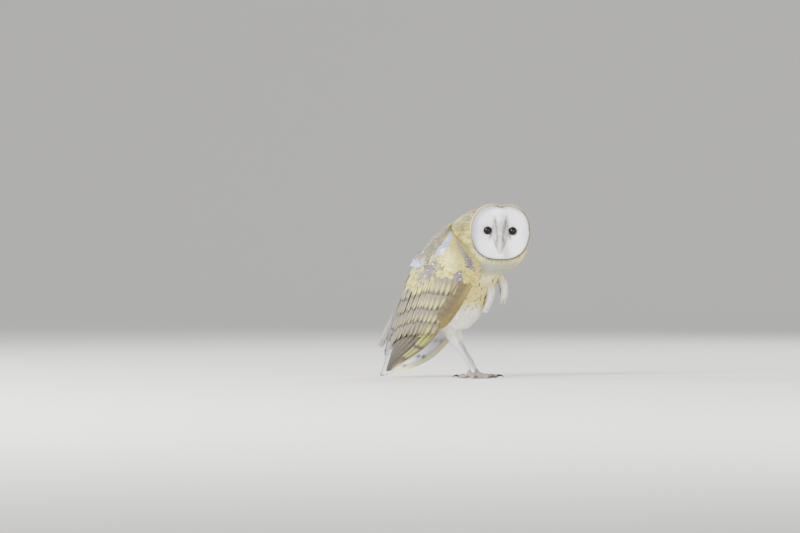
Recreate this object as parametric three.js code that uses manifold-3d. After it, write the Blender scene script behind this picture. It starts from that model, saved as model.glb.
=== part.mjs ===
// A barn owl at life size: standing, leaning forward, its wings folded and its head turned to its right.
// Frame: +X where the body faces, +Y to the bird's left, +Z up, in millimetres. The origin is on the floor,
// under the middle of the bird's bounding box. "side" is -1 for the bird's right and +1 for its left.
import * as THREE from "three";
import { mergeVertices } from "three/addons/utils/BufferGeometryUtils.js";
import Module from "manifold-3d";

const wasm = await Module();
wasm.setup();

// ---- driving dimensions ----
const GAP = 0.3; // between touching pieces
const HEAD_TURN = -72; // degrees, to the bird's right
const HEAD_ROLL = -1.3;
const HEAD_CENTRE = [52, -8, 221];
const HEAD_SIDES = 20; // facets round the head, the ruff and the face
const DISC_RADIUS = 47; // of the facial disc, before its heart shape
const DISC_UP = 9.5; // the disc's centre, above the head's
const DISH_DEPTH = 8.3; // of the disc, from where it leaves the ruff
const RIM_X = 26; // the ruff's crest, in front of the head's centre
const FACE_BACK = 2; // how far back the face's solid reaches, behind the eyes and the bill
const EYE = { radius: 8, forward: 11, aside: 20, up: 14.2 };
// The ridge of feathers from the brow to the bill, and the chin below it, on the floor of the disc.
const RIDGE = { rise: 9.5, bill: [-26, -8], brow: [34, 50], widthAtBill: 7.5, widthAtBrow: 11 };
const CHIN = { rise: 3, up: -28, halfWidth: 12, halfHeight: 9 };
const BILL_ROWS = [
  [20, 0, -1, 5.2],
  [27, 0, -5, 4.6],
  [31, 0, -12, 3.6],
  [31, 0, -18, 2.2],
  [29, 0, -22.5, 0.6],
];
const LOWER_BILL_ROWS = [
  [18, 0, -13, 3.4],
  [24, 0, -15.5, 2.9],
  [27.2, 0, -18.6, 1.2],
];
// Section of the ruff of stiff feathers round the disc: share of the disc's radius, place ahead.
const RUFF_SECTION = [
  [0.99, RIM_X - 4],
  [1.0, RIM_X - 0.8],
  [1.03, RIM_X],
  [1.06, RIM_X - 4],
  [1.045, RIM_X - 11],
  [0.99, RIM_X - 11],
];

// Mid-plane sections of the trunk, tail end first: back x, z, belly x, z, half width.
const TRUNK_ROWS = [
  [-112, 110, -102, 98, 7],
  [-108, 136, -70, 79, 34],
  [-100, 161, -28, 72, 48],
  [-89, 188, 0, 82, 53],
  [-70, 214, 20, 106, 55],
  [-47, 236, 35, 133, 53],
  [-21, 254, 47, 160, 49],
];
const BACK_NARROWER = 0.3; // share by which a section narrows towards the back
const NECK_ROWS = [
  [-36, 244, 39, 146, 46],
  [-16, 261, 52, 165, 46],
  [6, 272, 62, 176, 42],
  [28, 274, 72, 190, 34],
];
// Sections of the head from nape to ruff: forward, up, half width, half height.
const HEAD_ROWS = [
  [-41, 2, 8, 9],
  [-36, 1, 24, 28],
  [-22, 0, 38, 45],
  [-4, 0, 45, 53],
  [10, 1.5, 48, 55.3],
  [21, 6.5, 48, 50],
];

// The folded wing's three long lines, shoulder to tip, as x, y, z of the right wing.
const LEADING_LINE = [
  [-5, -44, 222],
  [19, -54, 197],
  [32, -57, 170],
  [16, -60, 140],
  [-5, -59, 106],
  [-30, -54, 76],
  [-61, -46, 47],
  [-101, -36, 24],
  [-136, -25, 9],
];
const SIDE_LINE = [
  [-18, -47, 236],
  [-14, -59, 212],
  [-14, -64, 188],
  [-29, -66, 157],
  [-51, -64, 121],
  [-75, -56, 94],
  [-97, -46, 66],
  [-119, -34, 40],
  [-138, -23, 13],
];
const DORSAL_LINE = [
  [-24, -20, 248],
  [-47, -15, 230],
  [-70, -12, 207],
  [-89, -11, 182],
  [-103, -11, 156],
  [-114, -11, 128],
  [-122, -12, 98],
  [-129, -15, 60],
  [-138, -20, 16],
];
// The left wing hangs looser: how its outer part lies from the right one's mirror image, and how it sags.
const LEFT_WING = { shift: [-20, 6, -9.5], sag: 14, sagAt: 0.7, sagReach: 0.18 };
const [WING_LENGTH, WING_WIDTH] = [120, 40]; // at least this much per whole u and v
const COAT_EDGE = 0.25; // a coat's thickness at its edges, as a share of the most
// Tips of the flight feathers as u, v on the wing: u along it, v from its leading to its dorsal edge.
const PRIMARY_TIPS = [
  [0.965, 0.12],
  [0.995, 0.34],
  [0.98, 0.56],
  [0.94, 0.74],
  [0.885, 0.86],
];
const SECONDARY_TIPS = [
  [0.69, 0.16],
  [0.725, 0.32],
  [0.735, 0.5],
  [0.735, 0.68],
  [0.725, 0.85],
];
// The rows of flight feathers: first root and the step to the next, lift off the wing's surface and the
// rise from one to the next. The upper feathers overlap the lower ones.
const PRIMARIES = { root: [0.57, 0.15], step: 0.13, rise: 0.6, width: 22, lift: -5, thick: 1.6, rings: 5 };
const SECONDARIES = { root: [0.5, 0.14], step: 0.165, rise: 0.25, width: 27, lift: -1, thick: 1.6, rings: 4 };
const ALULA = { root: [0.34, 0.15], tip: [0.59, 0.1], width: 16, lift: 2.6, thick: 1.5, rings: 4 };
// The wing's coats of small feathers: reach along it, and their two edges across it at a place u.
const COVERTS = { u: [0.02, 0.54], low: (u) => 0.02 * u, high: (u) => 0.97 - 0.02 * u, top: 1, thick: 7.5 };
const SCAPULARS = { u: [-0.02, 0.4], low: (u) => 0.6 + 0.75 * u, high: () => 1.02, top: 3.2, thick: 2 };

// ---- tail: its middle line from base to tip as x, z, and its feathers ----
const TAIL = {
  base: [-100, 154],
  tip: [-155, 49],
  feathers: 6,
  halfWidth: 27,
  slant: 0.45, // how much farther it reaches on its left, per mm
  curl: 0.004, // how its sides bend forward, per mm squared
};
const RECTRIX = { width: 20, lift: 1.2, fall: 1.6, shorter: 0.045, thick: 1.3, rings: 4 };

// ---- loose breast feathers that hang clear of the body: x, y, z, radius ----
const TUFT_ROWS = [
  [[32, -9, 162, 8], [40, -12, 145, 10], [38, -13, 124, 8.5], [28, -12, 104, 3]],
  [[38, 8, 174, 8], [50, 13, 158, 9], [53, 14, 139, 8.5], [48, 13, 120, 3]],
];

// ---- legs: x, y, z, radius of the right leg, the left one mirrored ----
const THIGH_ROWS = [
  [-44, -23, 108, 15],
  [-36, -22, 90, 14],
  [-26, -21, 72, 11.5],
  [-18, -20, 56, 8.6],
];
const TARSUS_ROWS = [
  [-19, -20, 58, 7.4],
  [-13, -20, 50, 6.8],
  [-3.5, -20, 38, 5],
  [3, -20, 25, 4.3],
  [5, -20, 11, 4.4],
];
const LEFT_ANKLE = { back: 9, up: 42, reach: 24 }; // the left leg is bent farther back round this height
const FOOT = { centre: [6, -20, 6.8], halfSizes: [7.5, 7, 5.6], clear: 1.4 }; // its pad is clear of the floor
// Toes: direction from straight ahead toward the bird's middle, length, radius at the root.
const TOES = [
  { name: "inner", angle: 27, length: 29, radius: 3.7 },
  { name: "middle", angle: -4, length: 31, radius: 3.7 },
  { name: "outer", angle: -55, length: 25, radius: 3.5 },
  { name: "hind", angle: 172, length: 18, radius: 3.5 },
];
const TOE_SUNK = 0.6; // how far a toe's pad is pressed flat on the floor
const CLAW = { length: 15, radius: 2, clear: 1 }; // it starts this far beyond the toe

// ---- colours ----
const skinOf = (color, roughness = 0.85) =>
  new THREE.MeshStandardMaterial({ color, roughness, metalness: 0 });
const PAINT = {
  gold: skinOf("#c9ad68"),
  buff: skinOf("#dcc68c"),
  white: skinOf("#efece6"),
  ruff: skinOf("#b79a62"),
  grey: skinOf("#8d8272"),
  eye: skinOf("#0a0708", 0.08),
  bill: skinOf("#d9c9bd", 0.45),
  scale: skinOf("#b3a392", 0.7),
  claw: skinOf("#2b2522", 0.35),
};

// ---- numbers and curves ----
const rad = THREE.MathUtils.degToRad;
const lerp = THREE.MathUtils.lerp;
const ease = (low, high, x) => THREE.MathUtils.smoothstep(x, low, high);
const bump = (x, width) => Math.exp(-((x / width) ** 2));
const evenly = (count, from = 0, to = 1) =>
  Array.from({ length: count }, (_, i) => lerp(from, to, i / (count - 1)));
const turns = (count) => evenly(count + 1, 0, 2 * Math.PI).slice(0, count);

// The row of numbers at place t, 0 to 1, on a smooth curve through evenly spaced rows.
function rowAt(rows, t) {
  const place = Math.min(Math.max(t, 0), 1) * (rows.length - 1);
  const i = Math.min(Math.floor(place), rows.length - 2);
  const f = place - i;
  const [a, b, c, d] = [-1, 0, 1, 2].map((k) => rows[Math.min(Math.max(i + k, 0), rows.length - 1)]);
  return b.map((_, n) => {
    const [p, q, r, s] = [a[n], b[n], c[n], d[n]];
    return q + 0.5 * f * (r - p + f * (2 * p - 5 * q + 4 * r - s + f * (3 * (q - r) + s - p)));
  });
}

const pointAt = (line, t) => new THREE.Vector3(...rowAt(line, t));
const fatter = (rows, grow) => rows.map(([x, y, z, radius]) => [x, y, z, radius + grow]);

// ---- meshes and solids ----
// A closed mesh of points and triangles, its faces turned outwards.
function meshOf(points, faces) {
  const volume = faces.reduce((sum, [a, b, c]) => {
    return sum + points[a].dot(new THREE.Vector3().crossVectors(points[b], points[c]));
  }, 0);
  const turned = volume < 0 ? faces.map(([a, b, c]) => [a, c, b]) : faces;
  return new THREE.BufferGeometry().setFromPoints(points).setIndex(turned.flat());
}

// The triangles between two rings of n points that start at a and b.
const band = (a, b, n) =>
  Array.from({ length: n }, (_, i) => {
    const j = (i + 1) % n;
    return [[a + i, a + j, b + j], [a + i, b + j, b + i]];
  }).flat();

// A solid through rings of points, its ends filled to their middles.
function loft(rings) {
  const n = rings[0].length;
  const middle = (ring) => ring.reduce((sum, p) => sum.add(p), new THREE.Vector3()).divideScalar(n);
  const points = [...rings.flat(), middle(rings[0]), middle(rings.at(-1))];
  const last = (rings.length - 1) * n;
  const faces = evenly(rings.length - 1, 0, rings.length - 2).flatMap((k) => band(k * n, k * n + n, n));
  for (let i = 0; i < n; i++) {
    const j = (i + 1) % n;
    faces.push([j, i, points.length - 2], [last + i, last + j, points.length - 1]);
  }
  return solidOf(meshOf(points, faces));
}

// A solid through rings of points that closes on itself.
function hoop(rings) {
  const n = rings[0].length;
  const faces = rings.flatMap((_, k) => band(k * n, ((k + 1) % rings.length) * n, n));
  return solidOf(meshOf(rings.flat(), faces));
}

function solidOf(geometry) {
  const bare = new THREE.BufferGeometry();
  bare.setAttribute("position", geometry.getAttribute("position"));
  bare.setIndex(geometry.getIndex());
  const merged = mergeVertices(bare, 1e-3);
  const vertProperties = new Float32Array(merged.attributes.position.array);
  const triVerts = new Uint32Array(merged.index.array);
  return new wasm.Manifold(new wasm.Mesh({ numProp: 3, vertProperties, triVerts }));
}

// The solid's largest body as a three.js geometry: crumbs that a cut leaves behind are dropped.
function geometryOf(solid) {
  const [body] = solid.decompose().sort((a, b) => b.volume() - a.volume());
  const mesh = body.getMesh();
  const geometry = new THREE.BufferGeometry();
  geometry.setAttribute("position", new THREE.BufferAttribute(new Float32Array(mesh.vertProperties), 3));
  geometry.setIndex(new THREE.BufferAttribute(new Uint32Array(mesh.triVerts), 1));
  geometry.computeVertexNormals();
  return geometry;
}

const joined = (solids) => solids.reduce((sum, solid) => sum.add(solid));
const cutBy = (solid, cutters) => cutters.reduce((left, cutter) => left.subtract(cutter), solid);
const mirroredY = (solid) => solid.mirror([0, 1, 0]);
// Pieces under longer names, each finished by one last step.
const namedAfter = (name, pieces, finish) =>
  Object.fromEntries(
    Object.entries(pieces).map(([key, [solid, paint]]) => [`${name}_${key}`, [finish(solid), paint]]),
  );

// An ellipsoid of the given half sizes round a centre.
function ellipsoid(centre, halfSizes, around = 16, up = 10) {
  const geometry = new THREE.SphereGeometry(1, around, up);
  return solidOf(geometry.scale(...halfSizes).translate(...centre));
}

// A tapering limb of round section along a smooth curve. Rows are x, y, z, radius.
function limb(rows, rings, sides = 10, flat = 1) {
  const line = new THREE.CatmullRomCurve3(rows.map(([x, y, z]) => new THREE.Vector3(x, y, z)));
  const sections = evenly(rings).map((t) => {
    const [x, y, z, radius] = rowAt(rows, t);
    const ahead = line.getTangent(t);
    const aside = new THREE.Vector3(0, 1, 0).cross(ahead).normalize();
    const across = new THREE.Vector3().crossVectors(ahead, aside);
    return turns(sides).map((a) =>
      new THREE.Vector3(x, y, z)
        .addScaledVector(across, radius * flat * Math.cos(a))
        .addScaledVector(aside, radius * Math.sin(a)),
    );
  });
  return loft(sections);
}

// ---- trunk and neck: sections between a back point and a belly point in the mid-plane ----
function bodyOf(rows, rings, sides, grow = 0) {
  const sections = evenly(rings).map((t) => {
    const [backX, backZ, bellyX, bellyZ, halfWidth] = rowAt(rows, t);
    const centre = new THREE.Vector3((backX + bellyX) / 2, 0, (backZ + bellyZ) / 2);
    const toBack = new THREE.Vector3(backX, 0, backZ).sub(centre);
    toBack.setLength(toBack.length() + grow);
    return turns(sides).map((a) => {
      const narrower = 1 - BACK_NARROWER * Math.max(0, Math.cos(a));
      const aside = new THREE.Vector3(0, (halfWidth + grow) * Math.sin(a) * narrower, 0);
      return aside.add(centre).addScaledVector(toBack, Math.cos(a));
    });
  });
  return loft(sections);
}

// ---- head, in its own frame: +X out of the face, +Y its left, +Z up ----
// The facial disc's outline at an angle counted from the head's left, as a share of its radius: a heart
// with a notch at the brow and a narrower chin.
function heart(angle) {
  const brow = bump(angle - Math.PI / 2, rad(9));
  return 1 - 0.035 * Math.cos(4 * angle) - 0.085 * brow + 0.11 * Math.min(0, Math.sin(angle));
}

function skull(grow = 0) {
  const rings = evenly(7).map((t) => {
    const [x, up, halfWidth, halfHeight] = rowAt(HEAD_ROWS, t);
    return turns(HEAD_SIDES).map((a) => {
      const k = lerp(1, heart(a), ease(0.55, 1, t));
      const [aside, above] = [(halfWidth + grow) * k * Math.cos(a), (halfHeight + grow) * k * Math.sin(a)];
      return new THREE.Vector3(x, aside, up + above);
    });
  });
  return loft(rings);
}

// The ruff, grown away from the middle of its section.
function ruffSolid(grow = 0) {
  const [middleShare, middleX] = [1.02, RIM_X - 8];
  const rings = turns(HEAD_SIDES).map((a) =>
    RUFF_SECTION.map(([share, x]) => {
      const r = DISC_RADIUS * heart(a) * share + Math.sign(share - middleShare) * grow;
      const ahead = x + Math.sign(x - middleX) * grow;
      return new THREE.Vector3(ahead, r * Math.cos(a), DISC_UP + r * Math.sin(a));
    }),
  );
  return hoop(rings);
}

// How far the face's surface stands in front of the head's centre: a dish, with a ridge from brow to bill.
function faceRelief(share, y, z) {
  const floor = RIM_X - 6 - (DISH_DEPTH - 3) * (1 - share ** 2.4);
  const along = ease(...RIDGE.bill, z) * (1 - ease(...RIDGE.brow, z));
  const ridge = RIDGE.rise * along * bump(y, lerp(RIDGE.widthAtBill, RIDGE.widthAtBrow, ease(10, 40, z)));
  const chin = CHIN.rise * bump(y, CHIN.halfWidth) * bump(z - CHIN.up, CHIN.halfHeight);
  return floor + ridge + chin;
}

const faceRing = (share, grow, height) =>
  turns(HEAD_SIDES).map((a) => {
    const radius = (DISC_RADIUS * 0.982 + grow) * heart(a) * share;
    const [y, z] = [radius * Math.cos(a), DISC_UP + radius * Math.sin(a)];
    return new THREE.Vector3(height ?? faceRelief(share, y, z), y, z);
  });

function faceSolid() {
  const dish = evenly(6, 1, 0.08).map((share) => faceRing(share, 0));
  return loft([faceRing(0.8, 0, FACE_BACK), faceRing(1, 0, RIM_X - 10), ...dish]);
}

// The room the face takes out of the skull, open to the front.
const faceHole = () =>
  loft([
    faceRing(0.8, GAP, FACE_BACK - GAP),
    faceRing(1, GAP, RIM_X - 10),
    faceRing(1, GAP, RIM_X + 20),
  ]);

function eyeball(side, grow = 0) {
  return ellipsoid([EYE.forward, side * EYE.aside, EYE.up], Array(3).fill(EYE.radius + grow), 12, 8);
}

function headSolids() {
  const upperBill = (grow) => limb(fatter(BILL_ROWS, grow), 7, 8, 1.1);
  const lowerBill = (grow) => limb(fatter(LOWER_BILL_ROWS, grow), 4, 6);
  const holes = [eyeball(-1, GAP), eyeball(1, GAP), upperBill(GAP), lowerBill(GAP)];
  const face = cutBy(faceSolid(), holes);
  return {
    head: [cutBy(skull(), [ruffSolid(GAP), faceHole()]), PAINT.gold],
    facial_ruff: [ruffSolid(), PAINT.ruff],
    facial_disc_right: [face.trimByPlane([0, -1, 0], GAP / 2), PAINT.white],
    facial_disc_left: [face.trimByPlane([0, 1, 0], GAP / 2), PAINT.white],
    eye_right: [eyeball(-1), PAINT.eye],
    eye_left: [eyeball(1), PAINT.eye],
    upper_bill: [upperBill(0), PAINT.bill],
    lower_bill: [cutBy(lowerBill(0), [upperBill(GAP)]), PAINT.bill],
  };
}

// ---- vanes: flat feathers that lie on a surface ----
// placeAt(t) gives a point of the feather's middle line and the surface's outward direction there.
function vane(placeAt, { width, lift, thick, rings = 5, grow = 0 }) {
  const sections = evenly(rings, 0, Math.PI / 2).map((turn) => {
    const t = Math.sin(turn);
    const [point, outward] = placeAt(t);
    const ahead = placeAt(t + 0.02)[0].sub(placeAt(t - 0.02)[0]);
    const aside = new THREE.Vector3().crossVectors(outward, ahead).normalize();
    const taper = Math.sqrt(1 - Math.max(0, (t - 0.6) / 0.405) ** 2.4);
    const half = (width / 2) * Math.min(1, 0.65 + t) * taper + grow;
    const corner = (across, height) =>
      point
        .clone()
        .addScaledVector(aside, across * half)
        .addScaledVector(outward, lift + height);
    const [top, under] = [grow, -thick - grow];
    return [corner(-1, top), corner(1, top), corner(1, under), corner(-1, under)];
  });
  return loft(sections);
}

// ---- wings ----
// A point of the folded wing's surface, and the outward direction there.
function wingPoint(wing, u, v) {
  const [leading, middle, dorsal] = [LEADING_LINE, SIDE_LINE, DORSAL_LINE].map((line) => pointAt(line, u));
  const control = middle.clone().multiplyScalar(2).sub(leading.clone().add(dorsal).multiplyScalar(0.5));
  return leading
    .multiplyScalar((1 - v) ** 2)
    .addScaledVector(control, 2 * v * (1 - v))
    .addScaledVector(dorsal, v * v)
    .addScaledVector(wing.shift, ease(0.3, 0.8, u))
    .add(new THREE.Vector3(0, 0, -wing.sag * bump(u - LEFT_WING.sagAt, LEFT_WING.sagReach)));
}

function wingOutward(wing, u, v) {
  const along = wingPoint(wing, u + 0.01, v).sub(wingPoint(wing, u - 0.01, v));
  const across = wingPoint(wing, u, v + 0.01).sub(wingPoint(wing, u, v - 0.01));
  return across.cross(along).normalize();
}

const onWing = (wing, u, v, lift) => wingPoint(wing, u, v).addScaledVector(wingOutward(wing, u, v), lift);

// A flight feather of the wing from a root to a tip, each given as u, v.
const wingVane = (wing, root, tip, shape) =>
  vane((t) => {
    const [u, v] = [lerp(root[0], tip[0], t), lerp(root[1], tip[1], t)];
    return [wingPoint(wing, u, v), wingOutward(wing, u, v)];
  }, shape);

// A coat of small feathers over a part of the wing, thinned towards its edges.
function wingCoat(wing, { u, low, high, top, thick, rings, across, grow = 0 }) {
  const rounded = (share) => Math.sqrt(1 - Math.abs(0.92 * (2 * share - 1)) ** 3);
  const stretched = (places, by) => [places[0] - by, ...places.slice(1, -1), places.at(-1) + by];
  const sections = stretched(evenly(rings, ...u), grow / WING_LENGTH).map((place, k) => {
    const span = stretched(evenly(across, low(place), high(place)), grow / WING_WIDTH);
    const outer = span.map((at) => onWing(wing, place, at, top + grow));
    const inner = span.map((at, i) => {
      const share = rounded(i / (across - 1)) * rounded(k / (rings - 1));
      return onWing(wing, place, at, top - grow - thick * Math.max(COAT_EDGE, share));
    });
    return [...outer, ...inner.reverse()];
  });
  return loft(sections);
}

// A row of flight feathers, their roots evenly spaced across the wing.
const wingFan = (wing, tips, { root, step, rise, ...shape }, grow) =>
  joined(
    tips.map((tip, i) => {
      const lift = shape.lift + rise * i;
      return wingVane(wing, [root[0], root[1] + step * i], tip, { ...shape, lift, grow });
    }),
  );
const primaryFan = (wing, grow = 0) => wingFan(wing, PRIMARY_TIPS, PRIMARIES, grow);
const secondaryFan = (wing, grow = 0) => wingFan(wing, SECONDARY_TIPS, SECONDARIES, grow);
const alulaVane = (wing, grow = 0) => wingVane(wing, ALULA.root, ALULA.tip, { ...ALULA, grow });
const covertCoat = (wing, grow = 0) => wingCoat(wing, { ...COVERTS, rings: 9, across: 6, grow });
const scapularCoat = (wing, grow = 0) => wingCoat(wing, { ...SCAPULARS, rings: 5, across: 4, grow });

function wingSolids(name, wing, inTheWay) {
  const ownHalf = (solid) => solid.trimByPlane([0, 0, 1], 0).trimByPlane([0, -1, 0], GAP / 2);
  const turned = (solid) => (wing.side > 0 ? mirroredY(solid) : solid);
  const blocked = inTheWay.map(turned);
  const coat = covertCoat(wing, GAP);
  const pieces = {
    scapulars: [cutBy(scapularCoat(wing), [coat, ...blocked]), PAINT.gold],
    coverts: [cutBy(covertCoat(wing), blocked), PAINT.gold],
    alula: [cutBy(alulaVane(wing), [coat, ...blocked]), PAINT.buff],
    secondaries: [
      cutBy(secondaryFan(wing), [coat, scapularCoat(wing, GAP), alulaVane(wing, GAP), ...blocked]),
      PAINT.buff,
    ],
    primaries: [cutBy(primaryFan(wing), [secondaryFan(wing, GAP), ...blocked]), PAINT.grey],
  };
  return namedAfter(name, pieces, (solid) => turned(ownHalf(solid)));
}

// ---- tail ----
function tailPlace(t, aside) {
  const { base, tip, slant, curl } = TAIL;
  const along = t * (1 + (slant * aside) / Math.hypot(tip[0] - base[0], tip[1] - base[1]));
  const point = new THREE.Vector3(
    lerp(base[0], tip[0], along) + curl * aside ** 2,
    aside,
    lerp(base[1], tip[1], along) + 0.4 * curl * aside ** 2,
  );
  const slope = new THREE.Vector3(tip[1] - base[1], 0, base[0] - tip[0]).normalize();
  return [point, slope.add(new THREE.Vector3(0, 2 * curl * aside, 0)).normalize()];
}

function tailSolid(grow = 0) {
  const { width, lift, fall, shorter, thick, rings } = RECTRIX;
  const feathers = evenly(TAIL.feathers, -1, 1).map((share) => {
    const length = 1 - shorter * Math.abs(share);
    const placeAt = (t) => tailPlace(t * length, share * TAIL.halfWidth * lerp(0.4, 0.8, t));
    return vane(placeAt, { width, lift: lift - fall * Math.abs(share), thick, rings, grow });
  });
  return joined(feathers);
}

// ---- legs ----
function toeRows({ angle, length, radius }) {
  const [x, y] = FOOT.centre;
  const [ahead, inward] = [Math.cos(rad(angle)), Math.sin(rad(angle))];
  const row = (along, z, r) => [x + ahead * along, y + inward * along, z, r];
  return [
    row(4.5, 4.6, radius),
    row(length * 0.3, radius - TOE_SUNK + 0.9, radius * 0.98),
    row(length * 0.55, radius - TOE_SUNK, radius),
    row(length * 0.8, radius * 0.86 - TOE_SUNK + 0.4, radius * 0.86),
    row(length, radius * 0.8 - TOE_SUNK, radius * 0.8),
  ];
}

function clawRows(toe) {
  const [x, y] = FOOT.centre;
  const [ahead, inward] = [Math.cos(rad(toe.angle)), Math.sin(rad(toe.angle))];
  const row = (along, z, r) => [x + ahead * (toe.length + along), y + inward * (toe.length + along), z, r];
  return [
    row(CLAW.clear, 2.9, CLAW.radius),
    row(0.3 * CLAW.length, 4, CLAW.radius * 0.9),
    row(0.65 * CLAW.length, 3.6, CLAW.radius * 0.62),
    row(0.87 * CLAW.length, 1.3, 0.5),
  ];
}

// The rows of the left leg's thigh or tarsus, still on the right side.
const bentBack = (rows) =>
  rows.map(([x, y, z, r]) => [x - LEFT_ANKLE.back * bump(z - LEFT_ANKLE.up, LEFT_ANKLE.reach), y, z, r]);
const thighLimb = (rows, grow = 0) => limb(fatter(rows, grow), 6, 10, 0.82);

function legSolids(side, trunkHole) {
  const bent = side > 0 ? bentBack : (rows) => rows;
  const own = side > 0 ? mirroredY : (solid) => solid;
  const thigh = (grow) => thighLimb(bent(THIGH_ROWS), grow);
  const tarsus = (grow) => limb(fatter(bent(TARSUS_ROWS), grow), 7, 8);
  const pieces = {
    thigh: [cutBy(thigh(0), [trunkHole]), PAINT.white],
    tarsus: [cutBy(tarsus(0), [thigh(GAP)]), PAINT.white],
  };
  for (const toe of TOES) pieces[`claw_${toe.name}`] = [limb(clawRows(toe), 5, 5), PAINT.claw];
  const pad = ellipsoid(FOOT.centre, FOOT.halfSizes, 7, 4).trimByPlane([0, 0, 1], FOOT.clear);
  const toes = TOES.map((toe) => limb(toeRows(toe), 5, 5).trimByPlane([0, 0, 1], 0));
  pieces.foot = [cutBy(joined([pad, ...toes]), [tarsus(GAP)]), PAINT.scale];
  const name = side > 0 ? "leg_left" : "leg_right";
  return namedAfter(name, pieces, own);
}

// ---- the whole bird ----
function addNodes(group, nodes) {
  for (const [name, [solid, material]] of Object.entries(nodes)) {
    const mesh = new THREE.Mesh(geometryOf(solid), material);
    mesh.name = name;
    group.add(mesh);
  }
}

function buildBird() {
  const bird = new THREE.Group();
  const head = new THREE.Group();
  head.position.set(...HEAD_CENTRE);
  head.rotation.set(rad(HEAD_ROLL), 0, rad(HEAD_TURN), "ZYX");
  head.updateMatrix();
  const headHole = joined([skull(GAP), ruffSolid(GAP), faceHole()]).transform(head.matrix.elements);
  addNodes(head, headSolids());
  bird.add(head);

  const trunk = (grow) => bodyOf(TRUNK_ROWS, 11, 20, grow);
  const neck = (grow) => bodyOf(NECK_ROWS, 4, 15, grow);
  const [trunkHole, neckHole] = [trunk(GAP), neck(GAP)];
  const tufts = TUFT_ROWS.map((rows) => limb(rows, 5, 7, 0.6));
  const body = [trunkHole, neckHole, headHole];
  addNodes(bird, {
    trunk: [cutBy(trunk(0), [headHole]), PAINT.buff],
    neck: [cutBy(neck(0), [trunkHole, headHole]), PAINT.gold],
    breast_tuft_right: [cutBy(tufts[0], body), PAINT.white],
    breast_tuft_left: [cutBy(tufts[1], body), PAINT.white],
    tail: [cutBy(tailSolid(), body), PAINT.white],
  });
  addNodes(bird, legSolids(-1, trunkHole));
  addNodes(bird, legSolids(1, trunkHole));
  const thighHoles = [thighLimb(THIGH_ROWS, GAP), mirroredY(thighLimb(bentBack(THIGH_ROWS), GAP))];
  const inTheWay = [...body, tailSolid(GAP), ...thighHoles];
  const rightWing = { side: -1, shift: new THREE.Vector3(), sag: 0 };
  const leftWing = { side: 1, shift: new THREE.Vector3(...LEFT_WING.shift), sag: LEFT_WING.sag };
  addNodes(bird, wingSolids("wing_right", rightWing, inTheWay));
  addNodes(bird, wingSolids("wing_left", leftWing, inTheWay));
  return bird;
}

const bird = buildBird();
const middle = new THREE.Box3().setFromObject(bird).getCenter(new THREE.Vector3());
bird.position.set(-middle.x, -middle.y, 0);
const figure = new THREE.Group();
figure.name = "barn_owl";
figure.add(bird);
export default figure;
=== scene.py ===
"""A barn owl at life size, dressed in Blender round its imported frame: skin, feathers, eyes, bill and feet.

Lengths inside the classes are millimetres in the bird's own frame: +X where the body faces, +Y to its
left, +Z up. Meshes are written in metres in the part's frame.
"""

from __future__ import annotations

import logging
import math
from dataclasses import dataclass, field
from enum import Enum
from typing import Callable, ClassVar, Sequence

import bmesh
import bpy
import numpy as np
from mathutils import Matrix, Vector
from mathutils.bvhtree import BVHTree
from mathutils.kdtree import KDTree

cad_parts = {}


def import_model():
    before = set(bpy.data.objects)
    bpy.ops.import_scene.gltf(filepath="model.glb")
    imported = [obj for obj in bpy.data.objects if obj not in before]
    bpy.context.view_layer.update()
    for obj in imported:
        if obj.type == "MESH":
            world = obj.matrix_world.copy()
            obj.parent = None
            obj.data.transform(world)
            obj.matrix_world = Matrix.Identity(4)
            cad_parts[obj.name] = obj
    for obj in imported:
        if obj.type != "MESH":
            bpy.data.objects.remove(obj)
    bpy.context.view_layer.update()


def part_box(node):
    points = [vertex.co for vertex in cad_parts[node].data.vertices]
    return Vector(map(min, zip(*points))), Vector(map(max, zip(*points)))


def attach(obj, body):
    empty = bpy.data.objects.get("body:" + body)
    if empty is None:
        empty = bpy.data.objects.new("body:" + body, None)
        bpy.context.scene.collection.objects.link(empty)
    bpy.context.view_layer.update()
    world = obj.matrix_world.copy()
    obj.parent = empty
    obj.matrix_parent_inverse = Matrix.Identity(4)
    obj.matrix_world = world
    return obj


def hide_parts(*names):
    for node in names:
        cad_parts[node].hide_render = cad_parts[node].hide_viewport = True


LOG = logging.getLogger("barn_owl")
Array = np.ndarray

MM = 0.001
ROOT_BODY = "root"
FAR_WING_SHIFT = (-20.0, 6.0, -9.5)
FAR_WING_SAG = 14.0
BAKE_MAP = "OFBake"
VANE_MAP = "Vane"
TINT = "Tint"
MARKS = "Marks"


class Side(Enum):
    """The bird's two sides, as the sign of Y."""

    RIGHT = -1
    LEFT = 1

    @property
    def word(self) -> str:
        """The side as it stands in a node's name."""
        return self.name.lower()


# ---- numbers and curves ----
def row_at(rows: Array, t: Array) -> Array:
    """Rows of numbers on a smooth curve through evenly spaced rows.

    Args:
        rows: (n, k) control rows.
        t: places from 0 to 1, of any shape.

    Returns:
        An array of t's shape plus one axis of k numbers.
    """
    t = np.asarray(t, float)
    last = len(rows) - 1
    place = np.clip(t, 0, 1) * last
    i = np.minimum(place.astype(int), last - 1)
    f = (place - i)[..., None]
    p, q, r, s = (rows[np.clip(i + k, 0, last)] for k in (-1, 0, 1, 2))
    return q + 0.5 * f * (r - p + f * (2 * p - 5 * q + 4 * r - s + f * (3 * (q - r) + s - p)))


def ease(low: float, high: float, x: Array) -> Array:
    """A smooth step from 0 at low to 1 at high."""
    t = np.clip((np.asarray(x, float) - low) / (high - low), 0, 1)
    return t * t * (3 - 2 * t)


def bump(x: Array, width: float) -> Array:
    """A bell of height 1 round zero."""
    return np.exp(-((np.asarray(x, float) / width) ** 2))


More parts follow.
